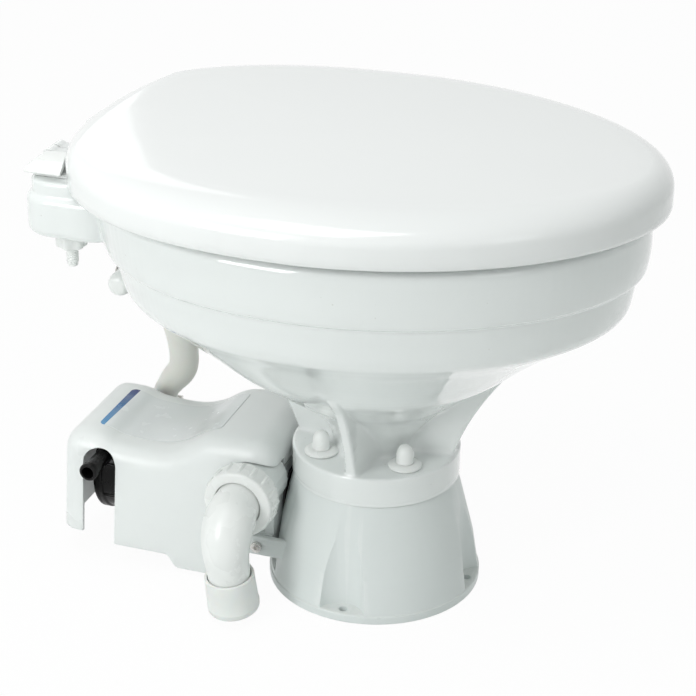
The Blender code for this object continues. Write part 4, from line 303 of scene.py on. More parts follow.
class Finish:
    """A material in the making: its tree, its shader, its colour so far and its bumps so far."""

    def __init__(self, name, **constants):
        self.material = bpy.data.materials.new(name)
        self.material.use_nodes = True
        self.tree = self.material.node_tree
        self.shader = self.tree.nodes["Principled BSDF"]
        for title, value in constants.items():
            feed(self.tree, self.shader.inputs[title.replace("_", " ")], value)
        self.colour = self.normal = None

    def place(self, group, **values):
        """A shared effect with this material's own values. The colour so far flows through it."""
        made = add_node(self.tree, "Group")
        made.node_tree = group
        for title, value in values.items():
            feed(self.tree, made.inputs[title], value)
        if self.colour is not None and "Color" in made.inputs:
            feed(self.tree, made.inputs["Color"], self.colour)
        if "Color" in made.outputs:
            self.colour = made.outputs["Color"]
        return made.outputs

    def tones(self, colour, tint, scale, amount):
        self.place(CLOUDY_TONE, Color=colour, Tint=tint, Scale=scale, Amount=amount)

    def bump(self, height, strength, distance):
        """Adds a height to the bumps so far."""
        made = add_node(
            self.tree, "Bump", Strength=strength, Distance=distance * MM, Height=height
        )
        if self.normal is not None:
            feed(self.tree, made.inputs["Normal"], self.normal)
        self.normal = made.outputs[0]

    def grain(self, scale, softness, strength, distance):
        made = self.place(MOULDED_GRAIN, Scale=scale, Softness=softness)
        self.bump(made["Height"], strength, distance)

    def noise(self, scale, detail=4.0, stretch=(1, 1, 1)):
        """A noise value in the object's own space."""
        sizes = add_node(self.tree, "Mapping", Vector=object_space(self.tree), Scale=stretch)
        return noise(self.tree, sizes.outputs[0], scale, detail)

    def done(self, pattern, low, high, start=0.3, end=0.7):
        """The finished material, whose roughness follows a noise between two values."""
        rough = spread(self.tree, self.noise(*pattern), start, end, low, high)
        feed(self.tree, self.shader.inputs["Roughness"], rough)
        feed(self.tree, self.shader.inputs["Base Color"], self.colour)
        feed(self.tree, self.shader.inputs["Normal"], self.normal)
        return self.material


def glazed_ceramic():
    """Vitreous china: a clear glaze on a faintly cool white body, with slow ripples, rare pits."""
    made = Finish(
        "glazed_ceramic", Roughness=0.07, IOR=1.52, Coat_Weight=0.6, Coat_Roughness=0.03
    )
    made.tones((0.800, 0.828, 0.818), (0.765, 0.800, 0.792), 6.0, 0.45)
    ripple = made.place(FLOW_RIPPLE, Scale=16.0, Pits=0.35)
    made.colour = mixed_colour(made.tree, ripple["Pit Mask"], made.colour, (0.45, 0.44, 0.40))
    made.place(SETTLED_DUST, Dust=(0.66, 0.66, 0.62), Amount=0.10)
    made.bump(ripple["Height"], 0.30, 0.35)
    return made.done((7.0,), 0.045, 0.11, 0.35, 0.7)


def gloss_lid_plastic():
    """Compression-moulded lid and seat plastic: a very even gloss with the faintest flow marks."""
    made = Finish(
        "gloss_lid_plastic", Roughness=0.1, IOR=1.50, Coat_Weight=0.35, Coat_Roughness=0.05
    )
    made.tones((0.835, 0.850, 0.845), (0.810, 0.828, 0.822), 4.0, 0.5)
    made.bump(made.place(FLOW_RIPPLE, Scale=9.0, Pits=0.0)["Height"], 0.22, 0.30)
    made.grain(1500.0, 0.4, 0.04, 0.02)
    return made.done((11.0, 5.0, (1, 0.35, 1)), 0.07, 0.16, 0.3, 0.75)


def sticker_film():
    """A bare laminated sticker with a plain blue band along its rear left end."""
    made = Finish("sticker_film", Roughness=0.22, IOR=1.48, Coat_Weight=0.1,
                  Coat_Roughness=0.12, Specular_IOR_Level=0.3)
    tree = made.tree
    place = add_node(tree, "SeparateXYZ", object_space(tree)).outputs
    behind = math_node(tree, "ADD", place["Y"], product(tree, place["X"], 0.03))
    band = spread(tree, behind, 0.2078, 0.2082)
    along = spread(tree, place["X"], -0.034, 0.034)
    blue = mixed_colour(tree, along, (0.0, 0.25, 0.55), (0.008, 0.012, 0.14))
    made.colour = mixed_colour(tree, band, (0.80, 0.83, 0.83), blue)
    made.place(CLOUDY_TONE, Tint=(0.72, 0.75, 0.75), Scale=60.0, Amount=0.18)
    made.place(SETTLED_DUST, Amount=0.2)
    made.bump(made.noise(40.0, 2.0), 0.12, 0.15)
    return made.done((80.0,), 0.16, 0.30)


def plain_finish(name, tones, rough, wear=None, dust=None, waves=None, grain=None, **constants):
    """A finish of the usual build: drifting tones, worn edges, dust, slow waves and fine grain."""
    made = Finish(name, **constants)
    made.tones(*tones)
    if wear:
        made.place(WORN_EDGE, Edge=wear[0], Amount=wear[1])
    if dust:
        made.place(SETTLED_DUST, Amount=dust)
    if waves:
        pattern, strength, distance = waves
        made.bump(made.noise(*pattern), strength, distance)
    if grain:
        made.grain(*grain)
    return made.done(*rough)


TURNING_LINES = (300.0, 3.0, (1, 1, 14))
FINISHES = {
    "ceramic": glazed_ceramic(),
    "lid_plastic": gloss_lid_plastic(),
    # The pedestal's injection-moulded plastic: satin, greyer than the bowl, dusty near the floor.
    "satin_base": plain_finish(
        "satin_base_plastic", ((0.745, 0.785, 0.775), (0.700, 0.748, 0.738), 12.0, 0.4),
        ((18.0,), 0.27, 0.42), wear=((0.86, 0.88, 0.87), 0.5), dust=0.45,
        waves=((30.0, 2.0), 0.12, 0.2), grain=(1100.0, 0.55, 0.16, 0.03),
        Roughness=0.34, IOR=1.49,
    ),
    # The motor cover's thinner moulding: white, satin, with slight sink marks on its broad faces.
    "satin_cover": plain_finish(
        "satin_cover_plastic", ((0.815, 0.840, 0.832), (0.785, 0.815, 0.806), 9.0, 0.4),
        ((21.0,), 0.25, 0.40), wear=((0.88, 0.89, 0.88), 0.4), dust=0.35,
        waves=((16.0, 1.5), 0.14, 0.4), grain=(1300.0, 0.5, 0.12, 0.025),
        Roughness=0.32, IOR=1.49,
    ),
    # Dense white plastic of the nut, elbow, hinges and caps, lightly rubbed on its edges.
    "white_fitting": plain_finish(
        "white_fitting_plastic", ((0.845, 0.862, 0.848), (0.805, 0.826, 0.808), 22.0, 0.4),
        ((40.0,), 0.20, 0.36), wear=((0.93, 0.93, 0.92), 0.5), dust=0.25,
        waves=((55.0, 2.0), 0.10, 0.12), grain=(1600.0, 0.45, 0.10, 0.02),
        Roughness=0.28, IOR=1.50,
    ),
    # The cuff's soft white rubber: matt, slightly translucent, with a faint bloom.
    "white_rubber": plain_finish(
        "white_cuff_rubber", ((0.800, 0.820, 0.800), (0.755, 0.778, 0.760), 30.0, 0.5),
        ((60.0,), 0.42, 0.6), dust=0.5, grain=(900.0, 0.7, 0.22, 0.03),
        Roughness=0.5, IOR=1.47, Subsurface_Weight=0.12, Subsurface_Scale=0.004,
    ),
    # The flush hose: warm off-white vinyl with fine lengthwise draw lines.
    "hose_vinyl": plain_finish(
        "off_white_vinyl", ((0.800, 0.806, 0.760), (0.745, 0.748, 0.690), 18.0, 0.5),
        ((25.0,), 0.26, 0.42), dust=0.3, waves=((420.0, 3.0, (1, 1, 0.08)), 0.12, 0.04),
        Roughness=0.35, IOR=1.52, Subsurface_Weight=0.1, Subsurface_Scale=0.004,
    ),
    # Glass-filled black plastic of the pump, with a fine fibrous grain.
    "black_plastic": plain_finish(
        "black_pump_plastic", ((0.003, 0.003, 0.003), (0.008, 0.008, 0.008), 35.0, 0.6),
        ((90.0, 6.0), 0.18, 0.40, 0.3, 0.75), wear=((0.03, 0.03, 0.03), 0.4),
        grain=(1400.0, 0.6, 0.14, 0.03), Roughness=0.25, IOR=1.52, Specular_IOR_Level=0.14,
    ),
    # Seal and buffer rubber: dark grey, matt, with a chalky bloom.
    "dark_rubber": plain_finish(
        "dark_rubber", ((0.030, 0.030, 0.031), (0.060, 0.060, 0.058), 50.0, 0.6),
        ((70.0,), 0.52, 0.75), grain=(800.0, 0.7, 0.30, 0.04), Roughness=0.62, IOR=1.47,
    ),
    # Bright stainless steel with fine turning lines and a few dull patches.
    "steel": plain_finish(
        "stainless_steel", ((0.62, 0.61, 0.59), (0.47, 0.46, 0.44), 60.0, 0.5),
        (TURNING_LINES, 0.16, 0.38), wear=((0.78, 0.77, 0.75), 0.6),
        waves=(TURNING_LINES, 0.12, 0.02), Roughness=0.25, Metallic=1.0,
    ),
    # The motor's can: dark grey paint with an orange-peel skin and bare metal on its edges.
    "painted_motor": plain_finish(
        "painted_motor_steel", ((0.070, 0.072, 0.076), (0.105, 0.106, 0.110), 24.0, 0.5),
        ((45.0,), 0.30, 0.52), wear=((0.35, 0.34, 0.33), 0.7), dust=0.6,
        waves=((260.0, 2.0), 0.30, 0.05),
        Roughness=0.4, IOR=1.5, Coat_Weight=0.3, Coat_Roughness=0.2,
    ),
    "label_film": sticker_film(),
}


# ---------------------------------------------------------------------------------------------
# Making shapes


def blend(start, end, share):
    return start + (end - start) * share


def ease(share):
    """A share that starts and ends gently."""
    share = min(max(share, 0.0), 1.0)
    return share * share * (3 - 2 * share)


def soft_max(first, second, width):
    """The larger of two numbers, rounded where they meet."""
    gap = max(width - abs(first - second), 0.0)
    return max(first, second) + gap * gap / (4 * width)


def soft_min(first, second, width):
    return -soft_max(-first, -second, width)


def span(side, near, far):
    """The lower and the higher X of what lies between two distances on one side."""
    return sorted((side * near, side * far))


def windows(points):
    """Each span of a line of points with the points before and after it."""
    points = [Vector(point) for point in points]
    padded = [points[0] * 2 - points[1]] + points + [points[-1] * 2 - points[-2]]
    return zip(padded, padded[1:], padded[2:], padded[3:])


def smooth_line(points, steps):
    """Points of a smooth curve through given points, which may hold any number of values."""
    line = []
    for before, start, end, after in windows(points):
        gaps = [max((b - a).length, 1e-6) ** 0.5 for a, b in
                ((before, start), (start, end), (end, after))]
        out = ((start - before) / gaps[0] - (end - before) / (gaps[0] + gaps[1])
               + (end - start) / gaps[1]) * gaps[1]
        into = ((end - start) / gaps[1] - (after - start) / (gaps[1] + gaps[2])
                + (after - end) / gaps[2]) * gaps[1]
        for step in range(steps):
            t = step / steps
            line.append(
                start * (2 * t**3 - 3 * t**2 + 1) + out * (t**3 - 2 * t**2 + t)
                + end * (3 * t**2 - 2 * t**3) + into * (t**3 - t**2)
            )
    return line + [Vector(points[-1])]


def skin(rows, closed=False, capped=True):
    """Faces between rings of the same number of points. A closed skin returns to its first ring."""
    shape = bmesh.new()
    rings_made = [[shape.verts.new(point) for point in row] for row in rows]
    pairs = list(zip(rings_made, rings_made[1:]))
    if closed:
        pairs.append((rings_made[-1], rings_made[0]))
    elif capped:
        shape.faces.new(reversed(rings_made[0]))
        shape.faces.new(rings_made[-1])
    for lower, upper in pairs:
        for spot in range(len(lower)):
            after = (spot + 1) % len(lower)
            shape.faces.new((lower[spot], lower[after], upper[after], upper[spot]))
    bmesh.ops.recalc_face_normals(shape, faces=shape.faces)
    return shape


def rings(profile, count):
    """Level rings at (radius, height) points. A radius may be a function of the angle."""
    rows = []
    for radius, height in profile:
        row = []
        for spot in range(count):
            turn = math.tau * spot / count
            reach = radius(turn) if callable(radius) else radius
            row.append((reach * math.cos(turn), reach * math.sin(turn), height))
        rows.append(row)
    return rows


def turned(profile, count=64):
    """A solid turned about the Z axis from (radius, height) points that run down its outer side. It
    closes into a ring where it doesn't start and end on the axis."""
    rows = rings(profile, count)
    if profile[0][0] > 0:
        return skin(rows, closed=True)
    shape = skin(rows, capped=False)
    bmesh.ops.remove_doubles(shape, verts=shape.verts, dist=1e-5)
    return shape


def rounded_profile(corners, radius, steps=4):
    """A profile with its corners rounded, the first and last left as they are."""
    line = [Vector(corners[0])]
    for before, corner, after in zip(corners, corners[1:], corners[2:]):
        before, corner, after = Vector(before), Vector(corner), Vector(after)
        reach = min(radius, (corner - before).length * 0.45, (after - corner).length * 0.45)
        start = corner + (before - corner).normalized() * reach
        end = corner + (after - corner).normalized() * reach
        for step in range(steps + 1):
            t = step / steps
            line.append(start * (1 - t) ** 2 + corner * 2 * t * (1 - t) + end * t**2)
    return line + [Vector(corners[-1])]


def pipe_rows(points, radii, count):
    """Rings across a line of points, without twist."""
    points = [Vector(point) for point in points]
    ends = zip([points[0]] + points[:-1], points[1:] + [points[-1]])
    ways = [(after - before).normalized() for before, after in ends]
    side = ways[0].orthogonal().normalized()
    rows = []
    for point, way, radius in zip(points, ways, radii):
        side = (side - way * side.dot(way)).normalized()
        other = way.cross(side)
        rows.append([
            point + side * radius * math.cos(math.tau * spot / count)
            + other * radius * math.sin(math.tau * spot / count) for spot in range(count)
        ])
    return rows


def pipe(points, outer, inner, count):
    """A pipe along a line of points, from its outer radii and its inner radius."""
    inside = pipe_rows(points, [inner] * len(points), count)
    return skin(pipe_rows(points, outer, count) + inside[::-1], closed=True)


def rod(start, end, radius, count=40):
    """A round bar between two points."""
    return skin(pipe_rows([start, end], (radius, radius), count))


def straight(start, end, stops):
    """Points along a straight line at given distances from its start."""
    start, way = Vector(start), (Vector(end) - Vector(start)).normalized()
    return [start + way * stop for stop in stops]


def block(low, high, corner=0.0, edge=0.0):
    """A box, with its upright corners and then all its edges rounded."""
    low, high = Vector(low), Vector(high)
    shape = bmesh.new()
    size = Matrix.Diagonal((*(high - low), 1))
    bmesh.ops.create_cube(shape, size=1, matrix=Matrix.Translation((low + high) / 2) @ size)
    if corner:
        upright = [e for e in shape.edges
                   if (e.verts[0].co - e.verts[1].co).to_2d().length < 1e-6]
        bmesh.ops.bevel(shape, geom=upright, offset=corner, segments=14, affect="EDGES",
                        profile=0.5)
    if edge:
        sharp = [e for e in shape.edges if len(e.link_faces) == 2 and e.calc_face_angle() > 0.6]
        bmesh.ops.bevel(shape, geom=sharp, offset=edge, segments=5, affect="EDGES", profile=0.5)
    return shape


def moved(shape, matrix):
    shape.transform(matrix)
    return shape


def shifted(shape, x, y):
    return moved(shape, Matrix.Translation((x, y, 0)))


def merged(shapes):
    """Several separate forms as one, for a single cut."""
    whole = bmesh.new()
    for shape in shapes:
        data = bpy.data.meshes.new("part")
        shape.to_mesh(data)
        shape.free()
        whole.from_mesh(data)
        bpy.data.meshes.remove(data)
    return whole


def baked(obj, kind, **settings):
    """Adds one modifier and writes its result into the mesh."""
    step = obj.modifiers.new(kind.lower(), kind)
    for title, value in settings.items():
        setattr(step, title, value)
    graph = bpy.context.evaluated_depsgraph_get()
    data = bpy.data.meshes.new_from_object(obj.evaluated_get(graph))
    obj.modifiers.clear()
    old = obj.data
    obj.data = data
    bpy.data.meshes.remove(old)


def combined(obj, operation, shapes):
    for shape in shapes:
        tool = raw("tool", shape)
        baked(obj, "BOOLEAN", object=tool, operation=operation, solver="EXACT")
        bpy.data.objects.remove(tool, do_unlink=True)


def cut(obj, *shapes):
    combined(obj, "DIFFERENCE", shapes)


def join(obj, *shapes):
    combined(obj, "UNION", shapes)


def eased_edges(obj, width, segments, angle):
    """Rounds the sharp edges of a finished shape slightly."""
    baked(obj, "BEVEL", width=width, segments=segments, limit_method="ANGLE",
          angle_limit=math.radians(angle), use_clamp_overlap=True, harden_normals=False)


def finished(obj, name, slot, nodes, sharp=35, body="frame"):
    """Scales a working object to metres and makes it a piece of the model."""
    obj.name = obj.data.name = name
    obj.data.transform(Matrix.Diagonal((MM, MM, MM, 1)))
    obj.data.materials.clear()
    obj.data.materials.append(FINISHES[slot])
    obj.data.shade_smooth()
    obj.data.set_sharp_from_angle(angle=math.radians(sharp))
    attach(obj, body)
    if nodes:
        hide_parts(*nodes)


def piece(name, shape, slot, nodes, sharp=35, body="frame"):
    finished(raw(name, shape), name, slot, nodes, sharp, body)


# ---------------------------------------------------------------------------------------------
# Bowl


FLANGE_TOP, RIM_TOP, BOWL_BOTTOM = 112.0, 314.0, 90.2
NECK_RADIUS, OUTLET_RADIUS, FLANGE_RADIUS, FLANGE_FLAT = 32.5, 24.0, 63.0, 60.2
BOWL_BOLT_REACH, FOOT_FILLET = 32.4, 5.0
HINGE_BOLT_X, HINGE_BOLT_Y = 60.5, 213.8
INLET_X, INLET_Y, INLET_Z = -44.0, 184.0, 229.56
# Shares of the wall's height, of its reach in front and of its reach behind.
BOWL_OUTER = (
    (0.00, 0.000, 0.000), (0.05, 0.006, 0.006), (0.11, 0.045, 0.050), (0.18, 0.120, 0.130),
    (0.24, 0.215, 0.235), (0.30, 0.310, 0.345), (0.36, 0.420, 0.460), (0.46, 0.575, 0.610),
    (0.545, 0.730, 0.735), (0.595, 0.840, 0.810), (0.622, 0.892, 0.852), (0.640, 0.912, 0.872),
    (0.665, 0.927, 0.890), (0.735, 0.943, 0.912), (0.779, 0.950, 0.924), (0.788, 0.964, 0.938),
    (0.798, 0.982, 0.960), (0.822, 0.991, 0.972), (0.88, 1.000, 0.985), (0.95, 0.998, 0.996),
    (0.975, 0.995, 0.998), (0.989, 0.984, 0.988), (0.997, 0.966, 0.972), (1.00, 0.946, 0.952),
)
BOWL_INNER = (
    (1.00, 1.045, 1.045), (0.997, 1.020, 1.020), (0.985, 1.004, 1.004), (0.95, 1.000, 1.000),
    (0.925, 1.004, 1.004), (0.905, 1.040, 1.035), (0.885, 1.085, 1.075), (0.75, 1.090, 1.080),
    (0.635, 1.030, 1.010), (0.545, 0.820, 0.830), (0.46, 0.630, 0.660), (0.36, 0.430, 0.460),
    (0.24, 0.215, 0.235), (0.14, 0.090, 0.095), (0.05, 0.010, 0.010),
)
BOWL_COUNT = 256
# How far the wall reaches to the right, behind, to the left and in front where the ribs meet it.
RIB_TOPS = (101.0, 117.0, 101.0, 109.0)


def oval_point(turn, front, rear, half_width, centre, powers):
    """A point of an oval whose reach and fullness differ before and behind its widest place."""
    power = powers[0] if math.sin(turn) < 0 else powers[1]
    reach = centre + front if math.sin(turn) < 0 else rear - centre
    across = math.copysign(abs(math.cos(turn)) ** (2 / power), math.cos(turn))
    along = math.copysign(abs(math.sin(turn)) ** (2 / power), math.sin(turn))
    return half_width * across, centre + reach * along


def wall_rows(plan, turns, start, front_end, rear_end):
    """Heights and ovals of the bowl's wall: round at the neck, oval at the rim."""
    for share, front_share, rear_share in smooth_line(plan, 5):
        oval_share = ease(share / 0.71)
        front = blend(start, front_end, front_share)
        rear = blend(start, rear_end, rear_share)
        half_width = blend(1, 0.8152, oval_share) * (front + rear) / 2
        powers = (blend(2, 1.86, oval_share), blend(2, 2.30, oval_share))
        oval = (front, rear, half_width, 14 * oval_share, powers)
        yield blend(FLANGE_TOP, RIM_TOP, share), [oval_point(turn, *oval) for turn in turns]


def rib_reach(across, height, top):
    """How far a rib reaches at an angle from its middle: level-sided, then wider toward the neck.
    Its edge is a hollow curve from the flange up to the wall, where it stays behind the wall."""
    across = math.sin(min(abs(across), QUARTER))
    wedge = max(3.8 / max(across, 1e-4), 17.2 / (across + 0.2185))
    up = height - FLANGE_TOP
    curve = (0.4156 * up + 0.003517 * up * (up - 32)) / 48.5
    edge = blend(60.5, top, curve) - max(up - 70, 0) ** 2 * 0.035
    return soft_min(edge, wedge, 2.0)


def with_ribs(point, height):
    """A point of the neck or the wall, pushed out where a rib or the foot's fillet covers it."""
    flat = Vector(point)
    angle = math.atan2(flat.y, flat.x)
    quarter = round(angle / QUARTER)
    rib = rib_reach(angle - quarter * QUARTER, height, RIB_TOPS[quarter % 4])
    reach = soft_max(flat.length, rib, 8.5)
    above = (height - FLANGE_TOP) / FOOT_FILLET
    if above < 1:
        fillet = FOOT_FILLET * (1 - math.sqrt(max(1 - (1 - above) ** 2, 0)))
        reach = min(reach + fillet, max(59.8, reach))
    return flat.normalized() * reach


def bowl_body():
    """The bowl's wall inside and out, its ribs and its foot flange, as one skin."""
    plain = [math.tau * spot / BOWL_COUNT for spot in range(BOWL_COUNT)]
    # The points stand closer together in front, behind and at the sides, where the ribs are.
    turns = [turn - 0.78 * math.sin(4 * turn) / 4 for turn in plain]
    outside = []
    for height, points in wall_rows(BOWL_OUTER, turns, NECK_RADIUS, 193.0, 202.0):
        if height < 210:
            points = [with_ribs(point, height) for point in points]
        if height > FLANGE_TOP + 0.01 or not outside:
            outside.append([(*point, height) for point in points])
    foot = [Vector(point[:2]) for point in outside[0]]
    corners = [(FLANGE_FLAT, FLANGE_TOP), (FLANGE_RADIUS, FLANGE_TOP), (FLANGE_RADIUS, 91.6),
               (62.6, BOWL_BOTTOM), (24.2, BOWL_BOTTOM)]
    below = [[(*(point.normalized() * reach), height) for point in foot]
             for reach, height in rounded_profile(corners, 3.0, 6)[:0:-1]]
    for share in (1.0, 0.8, 0.4):
        below.append([
            (*(point.normalized() * blend(point.length, FLANGE_FLAT, share)), FLANGE_TOP)
            for point in foot
        ])
    inside = [[(*point, height) for point in points] for height, points
              in wall_rows(BOWL_INNER, turns, OUTLET_RADIUS, 157.0, 152.0)]
    return skin(below + outside + inside, closed=True)


def snapped(obj, guides, reach):
    """Puts the points of a remeshed form back on the exact forms it was made from, where they lie
    close to them, so that only the joints between those forms stay blended."""
    trees = [BVHTree.FromBMesh(guide) for guide in guides]
    for vert in obj.data.vertices:
        nearest = min((tree.find_nearest(vert.co) for tree in trees), key=lambda hit: hit[3])
        keep = ease((nearest[3] - reach * 0.4) / (reach * 0.6))
        vert.co = nearest[0].lerp(vert.co, keep)


def make_bowl():
    """The ceramic bowl, with the rear shelf and its raised hinge platform blended into the wall."""
    body = bowl_body()
    shelf = block((-87, 169, 275), (87, 243, 306), 23, 6)
    pad = block((-83, 190, 300), (83, 239, 316), 19, 2.2)
    guides = [body.copy(), shelf.copy(), pad.copy()]
    bowl = raw("bowl_form", body)
    join(bowl, shelf, pad)
    baked(bowl, "REMESH", mode="VOXEL", voxel_size=1.25, adaptivity=0.0)
    baked(bowl, "SMOOTH", factor=0.5, iterations=8)
    snapped(bowl, guides, 1.1)
    for guide in guides:
        guide.free()
    baked(bowl, "SMOOTH", factor=0.5, iterations=2)
    holes = [rod((INLET_X, 188, INLET_Z), (INLET_X, 114, INLET_Z), 9.8)]
    for x in (-BOWL_BOLT_REACH, BOWL_BOLT_REACH):
        holes += [rod((x, y, 86), (x, y, 116), 3.2, 28)
                  for y in (-BOWL_BOLT_REACH, BOWL_BOLT_REACH)]
    for side, _ in SIDES:
        x = side * HINGE_BOLT_X
        holes.append(rod((x, HINGE_BOLT_Y, 270), (x, HINGE_BOLT_Y, 320), 4.7, 36))
    cut(bowl, merged(holes))
    finished(bowl, "glazed_bowl", "ceramic", ["bowl"], 60)
    ring = [(61.6, 92.0), (62.9, 92.0), (62.9, 89.2), (61.6, 89.2)]
    piece("bowl_foot_ring", turned(ring, 144), "ceramic", [])


# ---------------------------------------------------------------------------------------------
# Lid, seat and their hinges


LID_BOTTOM, LID_SIDE_TOP, LID_PANEL_HEIGHT = 318.6, 333.3, 350.8
HINGE_Y, HINGE_Z = 236.0, 322.0
THREAD_RADIUS, THREAD_DEPTH, THREAD_PITCH = 4.5, 0.55, 1.8
LID_TURNS = [math.tau * spot / 176 for spot in range(176)]
SHOULDER_END = math.radians(84)


def lid_ring(inset, height):
    """The lid's outline at a height, drawn in by an inset."""
    sizes = (205 - inset, 219.6 - inset, 170 - inset, 18, (1.86, 2.42))
    return [(*oval_point(turn, *sizes), height) for turn in LID_TURNS]


def panel_point(turn):
    """A point on the edge of the lid's top panel, which ends in a nearly straight line behind."""
    x, y = oval_point(turn, 188.5, 219.6, 137, 18, (1.86, 2.5))
    return Vector((x, soft_min(y, 199.6 - 0.00095 * x * x, 4.0)))


def lid_rows(wall):
    """The lid's rings from its skirt over its rounded shoulder to its middle, at a depth below its
    skin. The shoulder meets the panel at a faint crease."""
    top = LID_PANEL_HEIGHT - wall
    rows = [lid_ring(inset + wall, height) for inset, height in (
        (2.0, LID_BOTTOM), (0.9, LID_BOTTOM + 0.9), (0, LID_BOTTOM + 4.0), (0, 326.0),
        (0, LID_SIDE_TOP),
    )]
    outline = [Vector(point[:2]) for point in rows[-1]]
    panel = [panel_point(turn) for turn in LID_TURNS]
    for step in range(1, 15):
        turn = SHOULDER_END * step / 14
        share = (1 - math.cos(turn)) / (1 - math.cos(SHOULDER_END))
        height = blend(LID_SIDE_TOP, top, math.sin(turn) / math.sin(SHOULDER_END))
        rows.append([(*near.lerp(far, share), height) for near, far in zip(outline, panel)])
    for step in range(1, 19):
        share = step / 18.5
        height = top + 1.2 * (1 - (1 - share) ** 2.2)
        rows.append([(*point.lerp(Vector((0, 18)), share), height) for point in panel])
    return rows


def pin_rod(start, end, radius, count=40):
    """A bar along the axis of the hinge pins."""
    return rod((start, HINGE_Y, HINGE_Z), (end, HINGE_Y, HINGE_Z), radius, count)


def hinge_arms(near, root):
    """The two bars and round eyes that carry a lid or a seat on the hinge pins."""
    arms = []
    for side, _ in SIDES:
        inner, outer = span(side, near, near + 10)
        arms.append(block((inner, root, HINGE_Z - 3.6), (outer, HINGE_Y, HINGE_Z + 3.6)))
        arms.append(pin_rod(inner, outer, 5.2))
    return arms


def pin_holes(near):
    return [pin_rod(side * (near - 0.7), side * (near + 10.7), 2.8, 32) for side, _ in SIDES]


def make_lid():
    """The wrap-over lid: a thick skirt, a large rounded edge and a slightly crowned top."""
    lid = raw("lid_form", skin(lid_rows(4.0)[::-1] + lid_rows(0.0)))
    join(lid, *hinge_arms(36.5, 213.5))
    for side, _ in SIDES:
        near, far = span(side, 24.0, 36.0)
        cut(lid, block((near, 209.5, LID_BOTTOM - 4), (far, 223.6, 328.2)))
    cut(lid, *pin_holes(36.5))
    finished(lid, "gloss_lid", "lid_plastic", ["lid"], 50, "lid")


def make_seat():
    """The seat ring under the lid, with a softly dished top."""
    corners = [
        (8.0, 319.3), (8.0, 329.0), (15.5, 332.8), (35.0, 334.3), (54.5, 332.8), (62.0, 329.0),
        (62.0, 319.3),
    ]
    rows = [lid_ring(inset, height) for inset, height in rounded_profile(corners, 5.0, 5)]
    seat = raw("seat_form", skin(rows, closed=True))
    join(seat, *hinge_arms(25.0, 200.0))
    cut(seat, *pin_holes(25.0))
    finished(seat, "seat_ring", "lid_plastic", ["seat"], 50, "seat")


def foot_buffer(node, body):
    """A rubber foot with a rounded rim and a dimple, in the place of its node."""
    low, high = (Vector(corner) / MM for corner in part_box(node))
    middle = (low + high) / 2
    reach = (high.x - low.x) / 2
    corners = [(0, high.z), (reach * 0.82, high.z), (reach, low.z + 1.2), (reach, low.z),
               (reach * 0.4, low.z), (reach * 0.3, low.z + 0.7), (0, low.z + 0.7)]
    shape = shifted(turned(rounded_profile(corners, 0.8, 3), 40), middle.x, middle.y)
    piece(node + "_rubber", shape, "dark_rubber", [node], body=body)


def make_hinge_post(side, word):
    """The post that holds the pin: a block with a rounded eye and a thin foot under the lid."""
    inner, outer = span(side, 50.0, 71.0)
    post = raw("post_form", block((inner, 224, 316.3), (outer, HINGE_Y, 326.2), 0, 0.8))
    join(post, block((inner, 204, 316.3), (outer, HINGE_Y, 318.2), 2.5, 0),
         pin_rod(inner, outer, 4.2))
    head = turned([(0, 318.5), (6.8, 318.5), (4.3, 316.0), (0, 316.0)], 40)
    cut(post, pin_rod(side * 46, side * 69.8, 2.8, 32),
        shifted(head, side * HINGE_BOLT_X, HINGE_BOLT_Y))
    finished(post, f"hinge_post_{word}_block", "white_fitting", [f"hinge_post_{word}"])


def make_hinge_cap(side, word):
    """The roof-like cap over the post, its top drawn in at the rear and the outer side."""
    lower = [(48.5, 219), (77, 212), (77, 241), (48.5, 241)]
    upper = [(49, 219), (70, 212), (70, 235), (52, 235)]
    cap = raw("cap_form", skin([
        [(side * x, y, height) for x, y in corners]
        for corners, height in ((lower, 319.5), (lower, 321.6), (upper, 328.2))
    ]))
    eased_edges(cap, 1.4, 4, 20)
    inner, outer = span(side, 49.7, 71.3)
    near, far = span(side, 44, 50)
    cut(cap, block((inner, 223.7, 316), (outer, HINGE_Y, 326.5)), pin_rod(inner, outer, 4.5),
        block((near, 233.2, 316), (far, 238.8, 324.8)))
    finished(cap, f"hinge_cap_{word}_roof", "white_fitting", [f"hinge_cap_{word}"], 30)


def thread_radius(turn, height):
    """The radius of the hinge bolt's rounded thread at an angle and a height."""
    phase = (height / THREAD_PITCH - turn / math.tau) % 1.0
    return THREAD_RADIUS - THREAD_DEPTH * (0.5 + 0.5 * math.cos(math.tau * phase))


def make_hinge_bolt(side, word):
    """A countersunk plastic bolt through post and shelf, threaded below its lobed nut."""
    profile = [(0.02, 318.2), (6.0, 318.2), (6.2, 318.0), (4.0, 316.0)]
    height = 276.0
    while height > 249.0:
        profile.append((lambda turn, z=height: thread_radius(turn, z), height))
        height -= 0.3
    profile += [(3.9, 248.6), (3.7, 246.4), (3.2, 246.0), (0.02, 246.0)]
    bolt = raw("bolt_form", skin(rings(profile, 48)))
    cut(bolt, block((-4.4, -0.7, 317.0), (4.4, 0.7, 319.0)))
    shifted(bolt.data, side * HINGE_BOLT_X, HINGE_BOLT_Y)
    finished(bolt, f"hinge_bolt_{word}_thread", "white_fitting", [f"hinge_bolt_{word}"], 40)

    def lobes(reach):
        return lambda turn: reach * (0.93 + 0.07 * math.cos(6 * turn))

    profile = [(13.5, 274.7), (13.5, 273.2), (13.2, 272.7), (lobes(11.6), 272.5),
               (lobes(11.5), 262.4), (lobes(10.9), 261.5), (lobes(10.2), 261.2), (4.6, 261.2),
               (4.6, 274.7)]
    nut = shifted(skin(rings(profile, 72), closed=True), side * HINGE_BOLT_X, HINGE_BOLT_Y)
    piece(f"hinge_nut_{word}_lobed", nut, "white_fitting", [f"hinge_nut_{word}"], 30)


